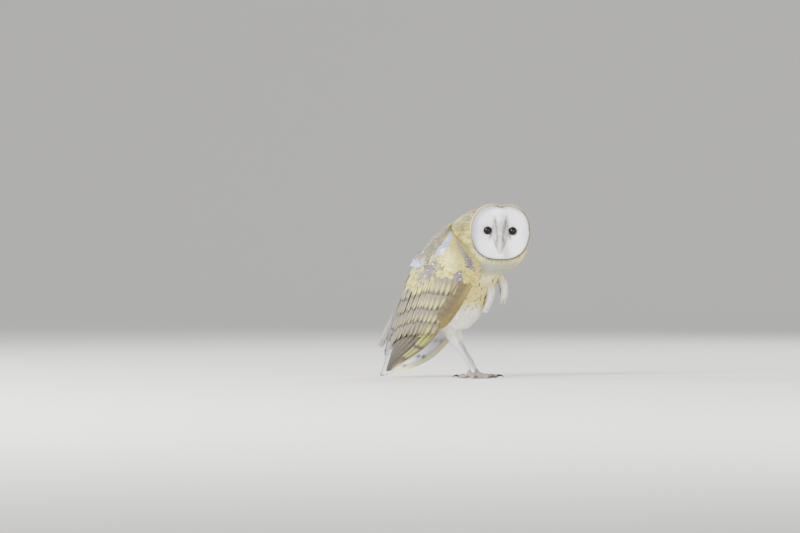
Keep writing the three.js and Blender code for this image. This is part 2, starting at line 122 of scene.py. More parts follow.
def unit(v: Array) -> Array:
    """Vectors at length 1 along the last axis."""
    return v / np.maximum(np.linalg.norm(v, axis=-1, keepdims=True), 1e-9)


def dot(a: Array, b: Array) -> Array:
    """Dot product along the last axis, which is kept."""
    return (a * b).sum(-1, keepdims=True)


def mixed(a: Array, b: Array, share: Array) -> Array:
    """Colours a turned towards b by a share of any shape that fits.

    Args:
        a: (..., 3) colours.
        b: a colour or colours.
        share: (...) from 0 to 1.

    Returns:
        The blended colours.
    """
    w = np.clip(np.asarray(share, float), 0, 1)[..., None]
    return a * (1 - w) + np.asarray(b, float) * w


def level(v: Array, out: Array) -> Array:
    """Directions laid into the surface that has outward directions out."""
    return unit(v - out * dot(v, out))


def plain(colour: Array, shape: Sequence[int]) -> Array:
    """A colour, or one for each feather, laid out to a shape."""
    return np.broadcast_to(colour, (*shape, 3))


def linear(code: str) -> Array:
    """A colour such as "#d8c68c" as linear light.

    Args:
        code: six hexadecimal digits after a hash.

    Returns:
        Three numbers from 0 to 1.
    """
    c = np.array([int(code[i : i + 2], 16) / 255 for i in (1, 3, 5)])
    return np.where(c <= 0.04045, c / 12.92, ((c + 0.055) / 1.055) ** 2.4)


class Mottle:
    """Smooth noise on a repeating lattice, from 0 to 1."""

    SIZE = 32

    def __init__(self, seed: int) -> None:
        """Draws the lattice.

        Args:
            seed: seed of its random numbers.
        """
        self.lattice = np.random.default_rng(seed).random((self.SIZE,) * 3)

    def __call__(self, p: Array, cell: float) -> Array:
        """Noise at points.

        Args:
            p: (..., 3) points.
            cell: size of a lattice cell, in the points' units.

        Returns:
            One number for each point.
        """
        q = np.asarray(p, float) / cell
        i = np.floor(q).astype(int)
        f = q - i
        f = f * f * (3 - 2 * f)
        total = np.zeros(q.shape[:-1])
        for corner in range(8):
            step = np.array([corner >> 2 & 1, corner >> 1 & 1, corner & 1])
            j = (i + step) % self.SIZE
            w = np.where(step, f, 1 - f).prod(-1)
            total += w * self.lattice[j[..., 0], j[..., 1], j[..., 2]]
        return total


class Spots:
    """Small round spots scattered through space, one in each cell of a lattice."""

    def __init__(self, seed: int, cell: float) -> None:
        """Keeps the cell and draws the places.

        Args:
            seed: seed of the random numbers.
            cell: size of a cell.
        """
        self.cell = cell
        self.place = np.random.default_rng(seed).random((Mottle.SIZE,) * 3 + (3,))

    def away(self, p: Array) -> Array:
        """Distances from points to the nearest spot's middle."""
        i = np.floor(p / self.cell).astype(int)
        best = np.full(p.shape[:-1], np.inf)
        for step in np.ndindex(3, 3, 3):
            cell = i + np.array(step) - 1
            at = cell % Mottle.SIZE
            middle = (cell + self.place[at[..., 0], at[..., 1], at[..., 2]]) * self.cell
            best = np.minimum(best, np.linalg.norm(p - middle, axis=-1))
        return best


# ---- where the bird is ----
@dataclass
class Pose:
    """The bird's place in the part's frame, and its turned head."""

    head_turn: float = -72.0
    head_roll: float = -1.3
    head_centre: tuple[float, float, float] = (52.0, -8.0, 221.0)
    disc_radius: float = 47.0
    disc_up: float = 9.5
    rim_ahead: float = 26.0
    eye_ahead: float = 11.0
    eye_aside: float = 20.0
    eye_up: float = 14.2
    eye_radius: float = 8.0
    offset: Array = field(init=False)
    turn: Array = field(init=False)

    def __post_init__(self) -> None:
        """Works out the head's turn, and the bird's place from where the frame has the right eye."""
        a, b = math.radians(self.head_turn), math.radians(self.head_roll)
        yaw = np.array([[math.cos(a), -math.sin(a), 0], [math.sin(a), math.cos(a), 0], [0, 0, 1]])
        roll = np.array([[1, 0, 0], [0, math.cos(b), -math.sin(b)], [0, math.sin(b), math.cos(b)]])
        self.turn = yaw @ roll
        low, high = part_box("eye_right")
        middle = (np.array(low) + np.array(high)) / 2 / MM
        self.offset = middle - self.from_head(np.array([self.eye_ahead, -self.eye_aside, self.eye_up]))
        self.offset[2] = 0.0

    def from_head(self, h: Array) -> Array:
        """Points of the head's frame in the bird's."""
        return h @ self.turn.T + np.array(self.head_centre)

    def to_head(self, p: Array) -> Array:
        """Points of the bird's frame in the head's."""
        return (p - np.array(self.head_centre)) @ self.turn

    def to_part(self, p: Array) -> Array:
        """Points of the bird's frame in metres in the part's frame."""
        return (p + self.offset) * MM

    def from_part(self, q: Array) -> Array:
        """Points of the part's frame, in metres, in the bird's frame."""
        return q / MM - self.offset

    @staticmethod
    def heart(angle: Array) -> Array:
        """The facial disc's outline at an angle from the head's left, as a share of its radius."""
        brow = bump(angle - math.pi / 2, math.radians(9))
        return 1 - 0.035 * np.cos(4 * angle) - 0.085 * brow + 0.11 * np.minimum(0, np.sin(angle))

    def disc_share(self, h: Array) -> Array:
        """How far out on the facial disc points of the head's frame are, 1 at its rim."""
        y, z = h[..., 1], h[..., 2] - self.disc_up
        return np.hypot(y, z) / (self.disc_radius * self.heart(np.arctan2(z, y) % (2 * math.pi)))

    def ahead(self, out: Array) -> Array:
        """How far directions of the bird's frame face the way the head looks, from 0 to 1."""
        return ease(0.1, 0.35, (out @ self.turn)[..., 0])

    def face_relief(self, y: Array, z: Array) -> Array:
        """How far ahead of the head's centre the face's surface is.

        Args:
            y: places across the face.
            z: places up the face.

        Returns:
            Distances ahead.
        """
        share = self.disc_share(np.stack([np.zeros_like(y), y, z], -1))
        floor = self.rim_ahead - 6 - 5.3 * (1 - np.clip(share, 0, 1) ** 2.4)
        along = ease(-26, -8, z) * (1 - ease(34, 50, z))
        ridge = 9.5 * along * bump(y, 7.5) + 1.2 * along * bump(y, 12)
        socket = 1.6 * bump(np.hypot(np.abs(y) - self.eye_aside, z - self.eye_up), 9)
        return floor + ridge - socket


# ---- colours ----
class Paint:
    """The plumage's colours, in linear light."""

    WHITE = linear("#f2f1ef")
    FACE = linear("#f4f3f6")
    # Painted shade: the lavender on the sides of the facial disc.
    LAVENDER = linear("#c0bedd")
    BELLY = linear("#f1efe0")
    # Painted shade: the grey-green that stands for the shade under the facial disc.
    BIB = linear("#9aa190")
    BUFF = linear("#ddcd78")
    CREAM = linear("#ddd285")
    GOLD = linear("#beb54c")
    OCHRE = linear("#74642d")
    OLIVE = linear("#565240")
    CROWN = linear("#686344")
    BROWN = linear("#54402a")
    RUST = linear("#6b3a20")
    MAUVE = linear("#5f594b")
    LILAC = linear("#625873")
    BLUE = linear("#9caad6")
    INK = linear("#2b2328")
    PALE = linear("#858050")
    BLOCK = linear("#919042")
    TIP = linear("#2c2822")
    UNDER = linear("#e6e4ec")
    EDGE = linear("#2f2a24")


class NodeBoard:
    """A material's node tree, with short ways to add and wire nodes."""

    def __init__(self, name: str) -> None:
        """Starts an empty material.

        Args:
            name: the material's name.
        """
        self.material = bpy.data.materials.new(name)
        self.material.use_nodes = True
        self.tree = self.material.node_tree
        self.tree.nodes.clear()

    def add(self, kind: str, inputs: dict | None = None, **settings: object) -> bpy.types.Node:
        """Adds a node.

        Args:
            kind: its type, without the word ShaderNode.
            inputs: values or sockets for its inputs, by name or number.
            settings: its own properties.

        Returns:
            The node.
        """
        node = self.tree.nodes.new(f"ShaderNode{kind}")
        for key, value in settings.items():
            setattr(node, key, value)
        for key, value in (inputs or {}).items():
            if isinstance(value, bpy.types.NodeSocket):
                self.tree.links.new(value, node.inputs[key])
            else:
                node.inputs[key].default_value = value
        return node

    def math(self, operation: str, a: object, b: object = 0.0, c: object = 0.0) -> bpy.types.NodeSocket:
        """One step of arithmetic on sockets or numbers."""
        return self.add("Math", {0: a, 1: b, 2: c}, operation=operation).outputs[0]

    def blend(self, share: object, a: object, b: object, kind: str = "MIX") -> bpy.types.NodeSocket:
        """A colour turned from a towards b."""
        node = self.add("Mix", {"Factor": share, "A": a, "B": b}, data_type="RGBA", blend_type=kind)
        for name, value in (("A", a), ("B", b)):
            socket = next(s for s in node.inputs if s.name == name and s.type == "RGBA")
            if isinstance(value, bpy.types.NodeSocket):
                self.tree.links.new(value, socket)
            else:
                socket.default_value = value
        return next(s for s in node.outputs if s.type == "RGBA")

    def step(self, value: object, low: float, high: float) -> bpy.types.NodeSocket:
        """A smooth step of a socket from 0 at low to 1 at high."""
        inputs = {"Value": value, "From Min": low, "From Max": high}
        return self.add("MapRange", inputs, interpolation_type="SMOOTHSTEP").outputs[0]

    def finish(self, shader: bpy.types.Node) -> bpy.types.Material:
        """Wires the shader to the output and gives the material back."""
        output = self.add("OutputMaterial")
        self.tree.links.new(shader.outputs[0], output.inputs[0])
        return self.material


def rgba(colour: Sequence[float]) -> tuple[float, float, float, float]:
    """A colour with full alpha."""
    return (float(colour[0]), float(colour[1]), float(colour[2]), 1.0)


@dataclass(frozen=True)
class PlumageFinish:
    """Feathers: the tint of each vane, its barbs and shaft, ink dots, pale drops and fine mottling."""

    name: str = "plumage"
    barbs: float = 26.0
    relief: float = 0.25
    roughness: float = 0.78
    sheen: float = 0.25
    grain: float = 900.0

    def build(self) -> bpy.types.Material:
        """Makes the material.

        Returns:
            The material, which reads the maps and colours that every feather mesh carries.
        """
        board = NodeBoard(self.name)
        tint = board.add("Attribute", attribute_name=TINT).outputs["Color"]
        marks = board.add("SeparateColor", {0: board.add("Attribute", attribute_name=MARKS).outputs["Color"]})
        place = board.add("SeparateXYZ", {0: board.add("UVMap", uv_map=VANE_MAP).outputs[0]})
        across, along = place.outputs[0], place.outputs[1]
        where = board.add("TexCoord").outputs["Object"]
        aside = board.math("ABSOLUTE", board.math("SUBTRACT", across, 0.5))

        grain = board.add("TexNoise", {"Vector": where, "Scale": self.grain, "Detail": 3.0, "Roughness": 0.6})
        speck = board.step(grain.outputs["Fac"], 0.47, 0.6)
        colour = board.blend(
            board.math("MULTIPLY", speck, marks.outputs[2]), tint, board.blend(0.55, tint, rgba(Paint.INK))
        )
        pale = board.step(grain.outputs["Fac"], 0.4, 0.3)
        colour = board.blend(
            board.math("MULTIPLY", board.math("MULTIPLY", pale, marks.outputs[2]), 0.5),
            colour,
            rgba(Paint.WHITE),
        )
        spot = (across, along)
        colour = self._dot(board, colour, *spot, marks.outputs[0], (0.5, 0.84), (0.17, 0.085), Paint.INK)
        colour = self._dot(board, colour, *spot, marks.outputs[1], (0.5, 0.93), (0.13, 0.05), Paint.WHITE)

        lean = board.math("MULTIPLY", aside, -0.5 * self.barbs)
        slant = board.math("MULTIPLY_ADD", along, self.barbs, lean)
        barb = board.math("SINE", board.math("MULTIPLY", slant, 2 * math.pi))
        shade = board.math("MULTIPLY_ADD", barb, 0.035, 1.0)
        grey = board.add("CombineColor", {0: shade, 1: shade, 2: shade}).outputs[0]
        colour = board.blend(1.0, colour, grey, "MULTIPLY")
        shaft = board.step(aside, 0.035, 0.01)
        colour = board.blend(board.math("MULTIPLY", shaft, 0.18), colour, rgba(Paint.BROWN))

        height = board.math("ADD", board.math("MULTIPLY", barb, 0.5), board.math("MULTIPLY", shaft, 1.2))
        relief = board.add("Bump", {"Strength": self.relief, "Distance": 0.0004, "Height": height})
        rough = board.math("MULTIPLY_ADD", grain.outputs["Fac"], 0.16, self.roughness - 0.08)
        shader = board.add(
            "BsdfPrincipled",
            {
                "Base Color": colour,
                "Roughness": rough,
                "Normal": relief.outputs[0],
                "Sheen Weight": self.sheen,
                "Sheen Roughness": 0.5,
                "Specular IOR Level": 0.25,
            },
        )
        return board.finish(shader)

    @staticmethod
    def _dot(
        board: NodeBoard,
        colour: bpy.types.NodeSocket,
        across: bpy.types.NodeSocket,
        along: bpy.types.NodeSocket,
        strength: bpy.types.NodeSocket,
        centre: tuple[float, float],
        reach: tuple[float, float],
        paint: Array,
    ) -> bpy.types.NodeSocket:
        """Lays an oval dot on every vane.

        Args:
            board: the material's node tree.
            colour: the colour under it.
            across: the vane's map, across.
            along: the vane's map, along.
            strength: how strong the dot is.
            centre: its middle on the map.
            reach: its half sizes on the map.
            paint: its colour.

        Returns:
            The colour with the dot.
        """
        a = board.math("DIVIDE", board.math("SUBTRACT", across, centre[0]), reach[0])
        b = board.math("DIVIDE", board.math("SUBTRACT", along, centre[1]), reach[1])
        square = board.math("ADD", board.math("MULTIPLY", a, a), board.math("MULTIPLY", b, b))
        away = board.math("SQRT", square)
        share = board.math("MULTIPLY", board.step(away, 1.15, 0.75), strength)
        return board.blend(share, colour, rgba(paint))


@dataclass(frozen=True)
class SkinFinish:
    """Skin under the coat: the coat's own colours, a little duller, finely pitted."""

    name: str = "skin"

    def build(self) -> bpy.types.Material:
        """Makes the material."""
        board = NodeBoard(self.name)
        tint = board.add("Attribute", attribute_name=TINT).outputs["Color"]
        where = board.add("TexCoord").outputs["Object"]
        down = board.add("TexNoise", {"Vector": where, "Scale": 700.0, "Detail": 4.0})
        darker = board.blend(0.25, tint, rgba(Paint.BROWN))
        colour = board.blend(board.step(down.outputs["Fac"], 0.3, 0.8), tint, darker)
        relief = board.add("Bump", {"Strength": 0.4, "Distance": 0.0005, "Height": down.outputs["Fac"]})
        shader = board.add(
            "BsdfPrincipled",
            {"Base Color": colour, "Roughness": 0.85, "Normal": relief.outputs[0], "Specular IOR Level": 0.2},
        )
        return board.finish(shader)


@dataclass(frozen=True)
class HornFinish:
    """Horn of the bill and the claws: streaked along its length and softly polished."""

    name: str
    light: str
    dark: str
    roughness: float = 0.32
    streaks: float = 420.0

    def build(self) -> bpy.types.Material:
        """Makes the material."""
        board = NodeBoard(self.name)
        where = board.add("TexCoord").outputs["Object"]
        stretched = board.add("Mapping", {"Vector": where, "Scale": (1.0, 1.0, 0.25)}).outputs[0]
        noise = board.add("TexNoise", {"Vector": stretched, "Scale": self.streaks, "Detail": 4.0})
        streak = noise.outputs["Fac"]
        tint = board.add("Attribute", attribute_name=TINT).outputs["Color"]
        own = board.blend(board.step(streak, 0.35, 0.7), rgba(linear(self.dark)), rgba(linear(self.light)))
        colour = board.blend(1.0, own, tint, "MULTIPLY")
        relief = board.add("Bump", {"Strength": 0.15, "Distance": 0.0003, "Height": streak})
        rough = board.math("MULTIPLY_ADD", streak, 0.2, self.roughness - 0.1)
        shader = board.add(
            "BsdfPrincipled",
            {"Base Color": colour, "Roughness": rough, "Normal": relief.outputs[0], "Coat Weight": 0.15},
        )
        return board.finish(shader)


@dataclass(frozen=True)
class ScaleFinish:
    """Bare skin of the toes: small rounded scales with darker seams."""

    name: str = "toe_scales"
    light: str = "#a59a8f"
    dark: str = "#5c524a"
    cells: float = 620.0

    def build(self) -> bpy.types.Material:
        """Makes the material."""
        board = NodeBoard(self.name)
        where = board.add("TexCoord").outputs["Object"]
        cell = board.add("TexVoronoi", {"Vector": where, "Scale": self.cells}, feature="DISTANCE_TO_EDGE")
        seam = board.step(cell.outputs["Distance"], 0.02, 0.16)
        patch = board.add("TexNoise", {"Vector": where, "Scale": 160.0, "Detail": 3.0}).outputs["Fac"]
        base = board.blend(patch, rgba(linear(self.light)), rgba(linear("#8f8078")))
        colour = board.blend(seam, rgba(linear(self.dark)), base)
        relief = board.add("Bump", {"Strength": 0.7, "Distance": 0.0006, "Height": seam})
        rough = board.math("MULTIPLY_ADD", patch, 0.2, 0.5)
        shader = board.add(
            "BsdfPrincipled", {"Base Color": colour, "Roughness": rough, "Normal": relief.outputs[0]}
        )
        return board.finish(shader)


@dataclass(frozen=True)
class EyeFinish:
    """A wet eye: very dark brown iris, black pupil and a clear glossy front."""

    name: str = "eye"
    iris: str = "#120a08"
    pupil: str = "#030303"

    def build(self) -> bpy.types.Material:
        """Makes the material."""
        board = NodeBoard(self.name)
        where = board.add("TexCoord").outputs["Object"]
        fibre = board.add("TexNoise", {"Vector": where, "Scale": 1400.0, "Detail": 4.0}).outputs["Fac"]
        ring = board.add("SeparateColor", {0: board.add("Attribute", attribute_name=TINT).outputs["Color"]})
        iris = board.blend(fibre, rgba(linear(self.iris)), rgba(linear("#1c100c")))
        colour = board.blend(ring.outputs[0], rgba(linear(self.pupil)), iris)
        shader = board.add(
            "BsdfPrincipled",
            {
                "Base Color": colour,
                "Roughness": board.math("MULTIPLY_ADD", fibre, 0.05, 0.04),
                "Specular IOR Level": 0.15,
                "Coat Weight": 0.2,
                "Coat Roughness": 0.02,
            },
        )
        return board.finish(shader)


@dataclass(frozen=True)
class FloorFinish:
    """The plain pale floor, faintly uneven."""

    name: str = "floor"
    colour: str = "#dcdad6"

    def build(self) -> bpy.types.Material:
        """Makes the material."""
        board = NodeBoard(self.name)
        where = board.add("TexCoord").outputs["Object"]
        grain = board.add("TexNoise", {"Vector": where, "Scale": 40.0, "Detail": 5.0}).outputs["Fac"]
        rough = board.math("MULTIPLY_ADD", grain, 0.1, 0.8)
        base = rgba(linear(self.colour))
        looks = {"Base Color": base, "Roughness": rough, "Specular IOR Level": 0.1}
        shader = board.add("BsdfPrincipled", looks)
        return board.finish(shader)


# ---- meshes ----
@dataclass
class MeshData:
    """A mesh as plain arrays, in millimetres in the bird's frame.

    Attributes:
        points: (n, 3) corners.
        faces: (m, 4) four-sided faces.
        tint: (n, 3) colours.
        marks: (n, 4) strengths of dark dot, pale drop and mottling.
        vane: (n, 2) place on a vane.
        bake: (n, 2) place on the map for baking.
    """

    points: Array
    faces: Array
    tint: Array
    marks: Array | None = None
    vane: Array | None = None
    bake: Array | None = None

    def object(self, name: str, pose: Pose, material: bpy.types.Material) -> bpy.types.Object:
        """Makes the mesh an object in the part's frame.

        Args:
            name: the object's name.
            pose: where the bird is.
            material: its finish.

        Returns:
            The object, linked to the scene.
        """
        mesh = bpy.data.meshes.new(name)
        mesh.vertices.add(len(self.points))
        mesh.vertices.foreach_set("co", pose.to_part(self.points).astype(np.float32).ravel())
        mesh.loops.add(self.faces.size)
        mesh.loops.foreach_set("vertex_index", self.faces.astype(np.int32).ravel())
        mesh.polygons.add(len(self.faces))
        starts = np.arange(0, self.faces.size, self.faces.shape[1], dtype=np.int32)
        mesh.polygons.foreach_set("loop_start", starts)
        mesh.update(calc_edges=True)
        corner = self.faces.ravel()
        for layer, values in ((BAKE_MAP, self.bake), (VANE_MAP, self.vane)):
            if values is not None:
                uv = mesh.uv_layers.new(name=layer)
                uv.uv.foreach_set("vector", values[corner].astype(np.float32).ravel())
        for label, values in ((TINT, self.tint), (MARKS, self.marks)):
            if values is not None:
                full = np.ones((len(self.points), 4), np.float32)
                full[:, : values.shape[1]] = values
                mesh.attributes.new(label, "FLOAT_COLOR", "POINT").data.foreach_set("color", full.ravel())
        mesh.shade_smooth()
        mesh.materials.append(material)
        piece = bpy.data.objects.new(name, mesh)
        bpy.context.scene.collection.objects.link(piece)
        return piece

    @staticmethod
    def joined(parts: Sequence["MeshData"]) -> "MeshData":
        """Several meshes as one."""
        starts = np.cumsum([0] + [len(p.points) for p in parts[:-1]])
        stacked = {
            key: (
                None if getattr(parts[0], key) is None else np.concatenate([getattr(p, key) for p in parts])
            )
            for key in ("points", "tint", "marks", "vane", "bake")
        }
        return MeshData(faces=np.concatenate([p.faces + s for p, s in zip(parts, starts)]), **stacked)


@dataclass
class Vanes:
    """Many like feathers, each along its own middle line.

    Attributes:
        path: (n, k, 3) middle lines, root to tip.
        out: (n, k, 3) outward directions along them.
        half: (n,) half widths.
        tint: (n, 3) colours, or a function of (along, across) that gives (n, rows, columns, 3).
        marks: (n, 4) strengths of the marks.
        bake: (n, 2) each root's place on the map for baking.
    """

    path: Array
    out: Array
    half: Array
    tint: Array | Callable[[Array, Array], Array]
    marks: Array
    bake: Array

    def mesh(
        self,
        rows: int,
        columns: int,
        seed: int,
        rounding: float = 0.3,
        ragged: float = 0.06,
        camber: float = 0.16,
        narrow_root: float = 0.45,
        point: float = 0.0,
        shaft: float = 0.5,
        thick: float = 0.0,
        patch: float = 0.003,
        root_shade: float = 0.25,
        tilt: float = 0.0,
    ) -> MeshData:
        """Builds the vanes.

        Args:
            rows: faces along a vane.
            columns: faces across it.
            seed: seed of the ragged tips.
            rounding: how much shorter the vane's edges are than its middle.
            ragged: unevenness of the tip, as a share of the length.
            camber: how far the edges bend down, as a share of the half width.
            narrow_root: width at the root, as a share.
            point: how much the width falls towards the tip, as a share.
            shaft: where the shaft lies across the vane, 0 to 1.
            thick: thickness in the middle; 0 makes a single sheet.
            patch: size of a feather's patch on the map for baking.
            root_shade: how much darker the root is.
            tilt: rise of one edge over the other, as a share of the half width.

        Returns:
            One mesh of all of them.
        """
        n, knots = self.path.shape[:2]
        rng = np.random.default_rng(seed)
        s = np.linspace(0, 1, rows + 1)
        c = np.linspace(-1, 1, columns + 1)
        short = 1 - rounding * np.abs(c)[None, :] ** 2.3 - 1.6 * ragged * rng.random((n, columns + 1)) ** 2
        along = np.clip(s[None, :, None] * short[:, None, :], 0, 1)
        place = along * (knots - 1)
        i = np.minimum(place.astype(int), knots - 2)
        f = (place - i)[..., None]
        which = np.arange(n)[:, None, None]
        middle = self.path[which, i] * (1 - f) + self.path[which, i + 1] * f
        out = unit(self.out[which, i] * (1 - f) + self.out[which, i + 1] * f)
        ahead = np.gradient(self.path, axis=1)
        ahead = unit(ahead[which, i] * (1 - f) + ahead[which, i + 1] * f)
        aside = unit(np.cross(out, ahead))
        swell = narrow_root + (1 - narrow_root) * np.sin(np.minimum(s / 0.55, 1) * math.pi / 2)
        swell = swell * (1 - point * ease(0.45, 1, s))
        reach = c - (2 * shaft - 1) * (1 - np.abs(c))
        width = (self.half[:, None, None] * swell[None, :, None]) * reach[None, None, :]
        sag = camber * self.half[:, None, None] * np.abs(c)[None, None, :] ** 2 * swell[None, :, None]
        points = middle + aside * width[..., None] + out * (tilt * width - sag)[..., None]
        if callable(self.tint):
            tint = self.tint(along, np.broadcast_to(c, along.shape))
        else:
            tint = np.broadcast_to(self.tint[:, None, None, :], points.shape)
        tint = tint * (1 - root_shade * (1 - ease(0, 0.75, along)))[..., None]
        u = np.broadcast_to((c + 1) / 2, along.shape)
        vane = np.stack([u, along], -1)
        bake = self.bake[:, None, None, :] + (vane - 0.5) * patch
        marks = np.broadcast_to(self.marks[:, None, None, :], (*along.shape, 4))
        faces = self._faces(n, rows, columns)
        top = MeshData(self._flat(points), faces, *(self._flat(a) for a in (tint, marks, vane, bake)))
        if thick <= 0:
            return top
        body = np.sqrt(np.clip(1 - np.abs(c) ** 2, 0, 1))[None, None, :] * (1 - along**6) * thick
        under = MeshData(
            self._flat(points - out * body[..., None]),
            faces[:, ::-1],
            top.tint,
            top.marks,
            top.vane,
            top.bake,
        )
        return MeshData.joined([top, under])

    @staticmethod
    def _flat(a: Array) -> Array:
        """Rows and columns of every vane in one list."""
        return a.reshape(-1, a.shape[-1])

    @staticmethod
    def _faces(n: int, rows: int, columns: int) -> Array:
        """Four-sided faces of n grids."""
        grid = np.arange((rows + 1) * (columns + 1)).reshape(rows + 1, columns + 1)
        one = np.stack([grid[:-1, :-1], grid[:-1, 1:], grid[1:, 1:], grid[1:, :-1]], -1).reshape(-1, 4)
        return (one[None] + (np.arange(n) * grid.size)[:, None, None]).reshape(-1, 4)


def tube(
    centre: Array, radius: Array, sides: int, flat: Array | float = 1.0, up: Sequence[float] = (0, 0, 1)
) -> MeshData:
    """A closed tube along a line, in white.

    Args:
        centre: (k, 3) its middle line.
        radius: (k,) its radius.
        sides: facets round it.
        flat: its thickness along up, as a share of its width.
        up: a direction across it.

    Returns:
        The mesh, its ends drawn together.
    """
    ahead = unit(np.gradient(centre, axis=0))
    aside = unit(np.cross(np.asarray(up, float), ahead))
    across = np.cross(ahead, aside)
    a = np.linspace(0, 2 * math.pi, sides, endpoint=False)
    flat = np.broadcast_to(np.asarray(flat, float), radius.shape)
    ring = (
        aside[:, None] * (radius[:, None] * np.cos(a))[..., None]
        + across[:, None] * ((radius * flat)[:, None] * np.sin(a))[..., None]
    )
    points = (centre[:, None] + ring).reshape(-1, 3)
    k = len(centre)
    i, j = np.meshgrid(np.arange(k - 1), np.arange(sides), indexing="ij")
    j2 = (j + 1) % sides
    corners = [i * sides + j, i * sides + j2, (i + 1) * sides + j2, (i + 1) * sides + j]
    faces = np.stack(corners, -1).reshape(-1, 4)
    half = sides // 2
    caps = []
    for start, turned in ((0, True), ((k - 1) * sides, False)):
        for q in range(half - 1):
            quad = [start + q, start + q + 1, start + sides - 2 - q, start + sides - 1 - q]
            caps.append(quad[::-1] if turned else quad)
    v = np.repeat(np.linspace(0, 1, k), sides)
    u = np.tile(np.linspace(0, 1, sides), k)
    uv = np.stack([u, v], -1)
    faces = np.concatenate([faces, np.array(caps)])
    return MeshData(points, faces, np.ones((len(points), 3)), bake=uv, vane=uv)


# ---- skin ----
class Skin:
    """One skin under the coat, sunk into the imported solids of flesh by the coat's depth."""

    FLESH = (
        "head",
        "facial_ruff",
        "facial_disc_right",
        "facial_disc_left",
        "neck",
        "trunk",
        "leg_right_thigh",
        "leg_right_tarsus",
        "leg_left_thigh",
        "leg_left_tarsus",
        "wing_right_coverts",
        "wing_right_scapulars",
        "wing_left_coverts",
        "wing_left_scapulars",
    )
    FILLERS = ("eye_right", "eye_left", "upper_bill", "lower_bill")

    def __init__(self, pose: Pose, fill: Sequence[MeshData], voxel: float = 2.2, smoothing: int = 9) -> None:
        """Fuses the solids, smooths them and sinks the surface.

        Args:
            pose: where the bird is.
            fill: flesh that closes the hollows between the solids.
            voxel: grid size of the fused surface.
            smoothing: rounds of smoothing.
        """
        self.pose = pose
        points, faces = self._fused(fill, voxel)
        points = self._smoothed(points, faces, smoothing)
        normals = self._normals(points, faces)
        self.points = points - normals * self.depth(points)[:, None]
        self.points = self._with_face(self.points)
        self.faces = faces
        self.normals = self._normals(self.points, faces)
        self.tree = BVHTree.FromPolygons(self.points.tolist(), faces.tolist())
        self.face_normals = unit(self.normals[faces].mean(1))
        self.face_centres = self.points[faces].mean(1)
        self.maps: Array = np.zeros((len(faces), 2))

    def _fused(self, fill: Sequence[MeshData], voxel: float) -> tuple[Array, Array]:
        """The solids as one four-sided mesh.

        Args:
            fill: meshes that close hollows.
            voxel: its grid size.

        Returns:
            Its corners in the bird's frame, and its faces.
        """
        shape = bmesh.new()
        for name in self.FLESH + self.FILLERS:
            shape.from_mesh(bpy.data.objects[name].data)
        for part in fill:
            corners = [shape.verts.new(q) for q in self.pose.to_part(part.points)]
            for face in part.faces:
                shape.faces.new([corners[i] for i in face])
        mesh = bpy.data.meshes.new("fused")
        shape.to_mesh(mesh)
        shape.free()
        thing = bpy.data.objects.new("fused", mesh)
        bpy.context.scene.collection.objects.link(thing)
        remesh = thing.modifiers.new("fuse", "REMESH")
        remesh.mode = "VOXEL"
        remesh.voxel_size = voxel * MM
        done = thing.evaluated_get(bpy.context.evaluated_depsgraph_get()).to_mesh()
        points = np.zeros(len(done.vertices) * 3)
        done.vertices.foreach_get("co", points)
        corners = np.zeros(len(done.loops), np.int32)
        done.loops.foreach_get("vertex_index", corners)
        points, faces = points.reshape(-1, 3), corners.reshape(-1, 4)
        bpy.data.objects.remove(thing)
        bpy.data.meshes.remove(mesh)
        return self._largest(self.pose.from_part(points), faces)

    @staticmethod
    def _largest(points: Array, faces: Array) -> tuple[Array, Array]:
        """Only the biggest connected surface.

        Args:
            points: corners.
            faces: faces.

        Returns:
            The corners and faces that are left.
        """
        label = np.arange(len(points))
        while True:
            low = label[faces].min(1)
            new = label.copy()
            for k in range(4):
                np.minimum.at(new, faces[:, k], low)
            new = new[new]
            if (new == label).all():
                break
            label = new
        kept = label[faces[:, 0]]
        main = np.bincount(kept).argmax()
        faces = faces[kept == main]
        used, faces = np.unique(faces, return_inverse=True)
        return points[used], faces.reshape(-1, 4)

    @staticmethod
    def _smoothed(points: Array, faces: Array, rounds: int) -> Array:
        """Corners moved to the middle of their neighbours, round by round."""
        a = faces.ravel()
        b = np.roll(faces, -1, axis=1).ravel()
        count = sum(np.bincount(x, minlength=len(points)) for x in (a, b))[:, None]
        for _ in range(rounds):
            total = np.zeros_like(points)
            for k in range(3):
                ahead = np.bincount(a, points[b, k], len(points))
                total[:, k] = ahead + np.bincount(b, points[a, k], len(points))
            points = points + 0.5 * (total / count - points)
        return points

    @staticmethod
    def _normals(points: Array, faces: Array) -> Array:
        """Outward directions at the corners."""
        flat = np.cross(points[faces[:, 2]] - points[faces[:, 0]], points[faces[:, 3]] - points[faces[:, 1]])
        total = np.zeros_like(points)
        for k in range(4):
            for axis in range(3):
                total[:, axis] += np.bincount(faces[:, k], flat[:, axis], len(points))
        return unit(total)

    def depth(self, p: Array) -> Array:
        """The coat's depth at points of the bird's frame."""
        h = self.pose.to_head(p)
        head = bump(np.maximum(np.linalg.norm(h, axis=-1) - 42, 0), 18)
        face = ease(4, 14, h[..., 0]) * (1 - ease(0.98, 1.06, self.pose.disc_share(h)))
        legs = 1 - ease(50, 92, p[..., 2])
        deep = 3.6 - 1.4 * head
        deep = deep * (1 - face) + 1.1 * face
        return deep * (1 - legs) + 1.0 * legs

    def _with_face(self, p: Array) -> Array:
        """Corners inside the facial disc moved to the face's fine relief."""
        h = self.pose.to_head(p)
        share = self.pose.disc_share(h)
        inside = ease(0.97, 0.9, share) * ease(2, 10, h[..., 0])
        target = self.pose.face_relief(h[..., 1], h[..., 2]) - 0.9
        h = h.copy()
        h[..., 0] = h[..., 0] * (1 - inside) + target * inside
        return self.pose.from_head(h)

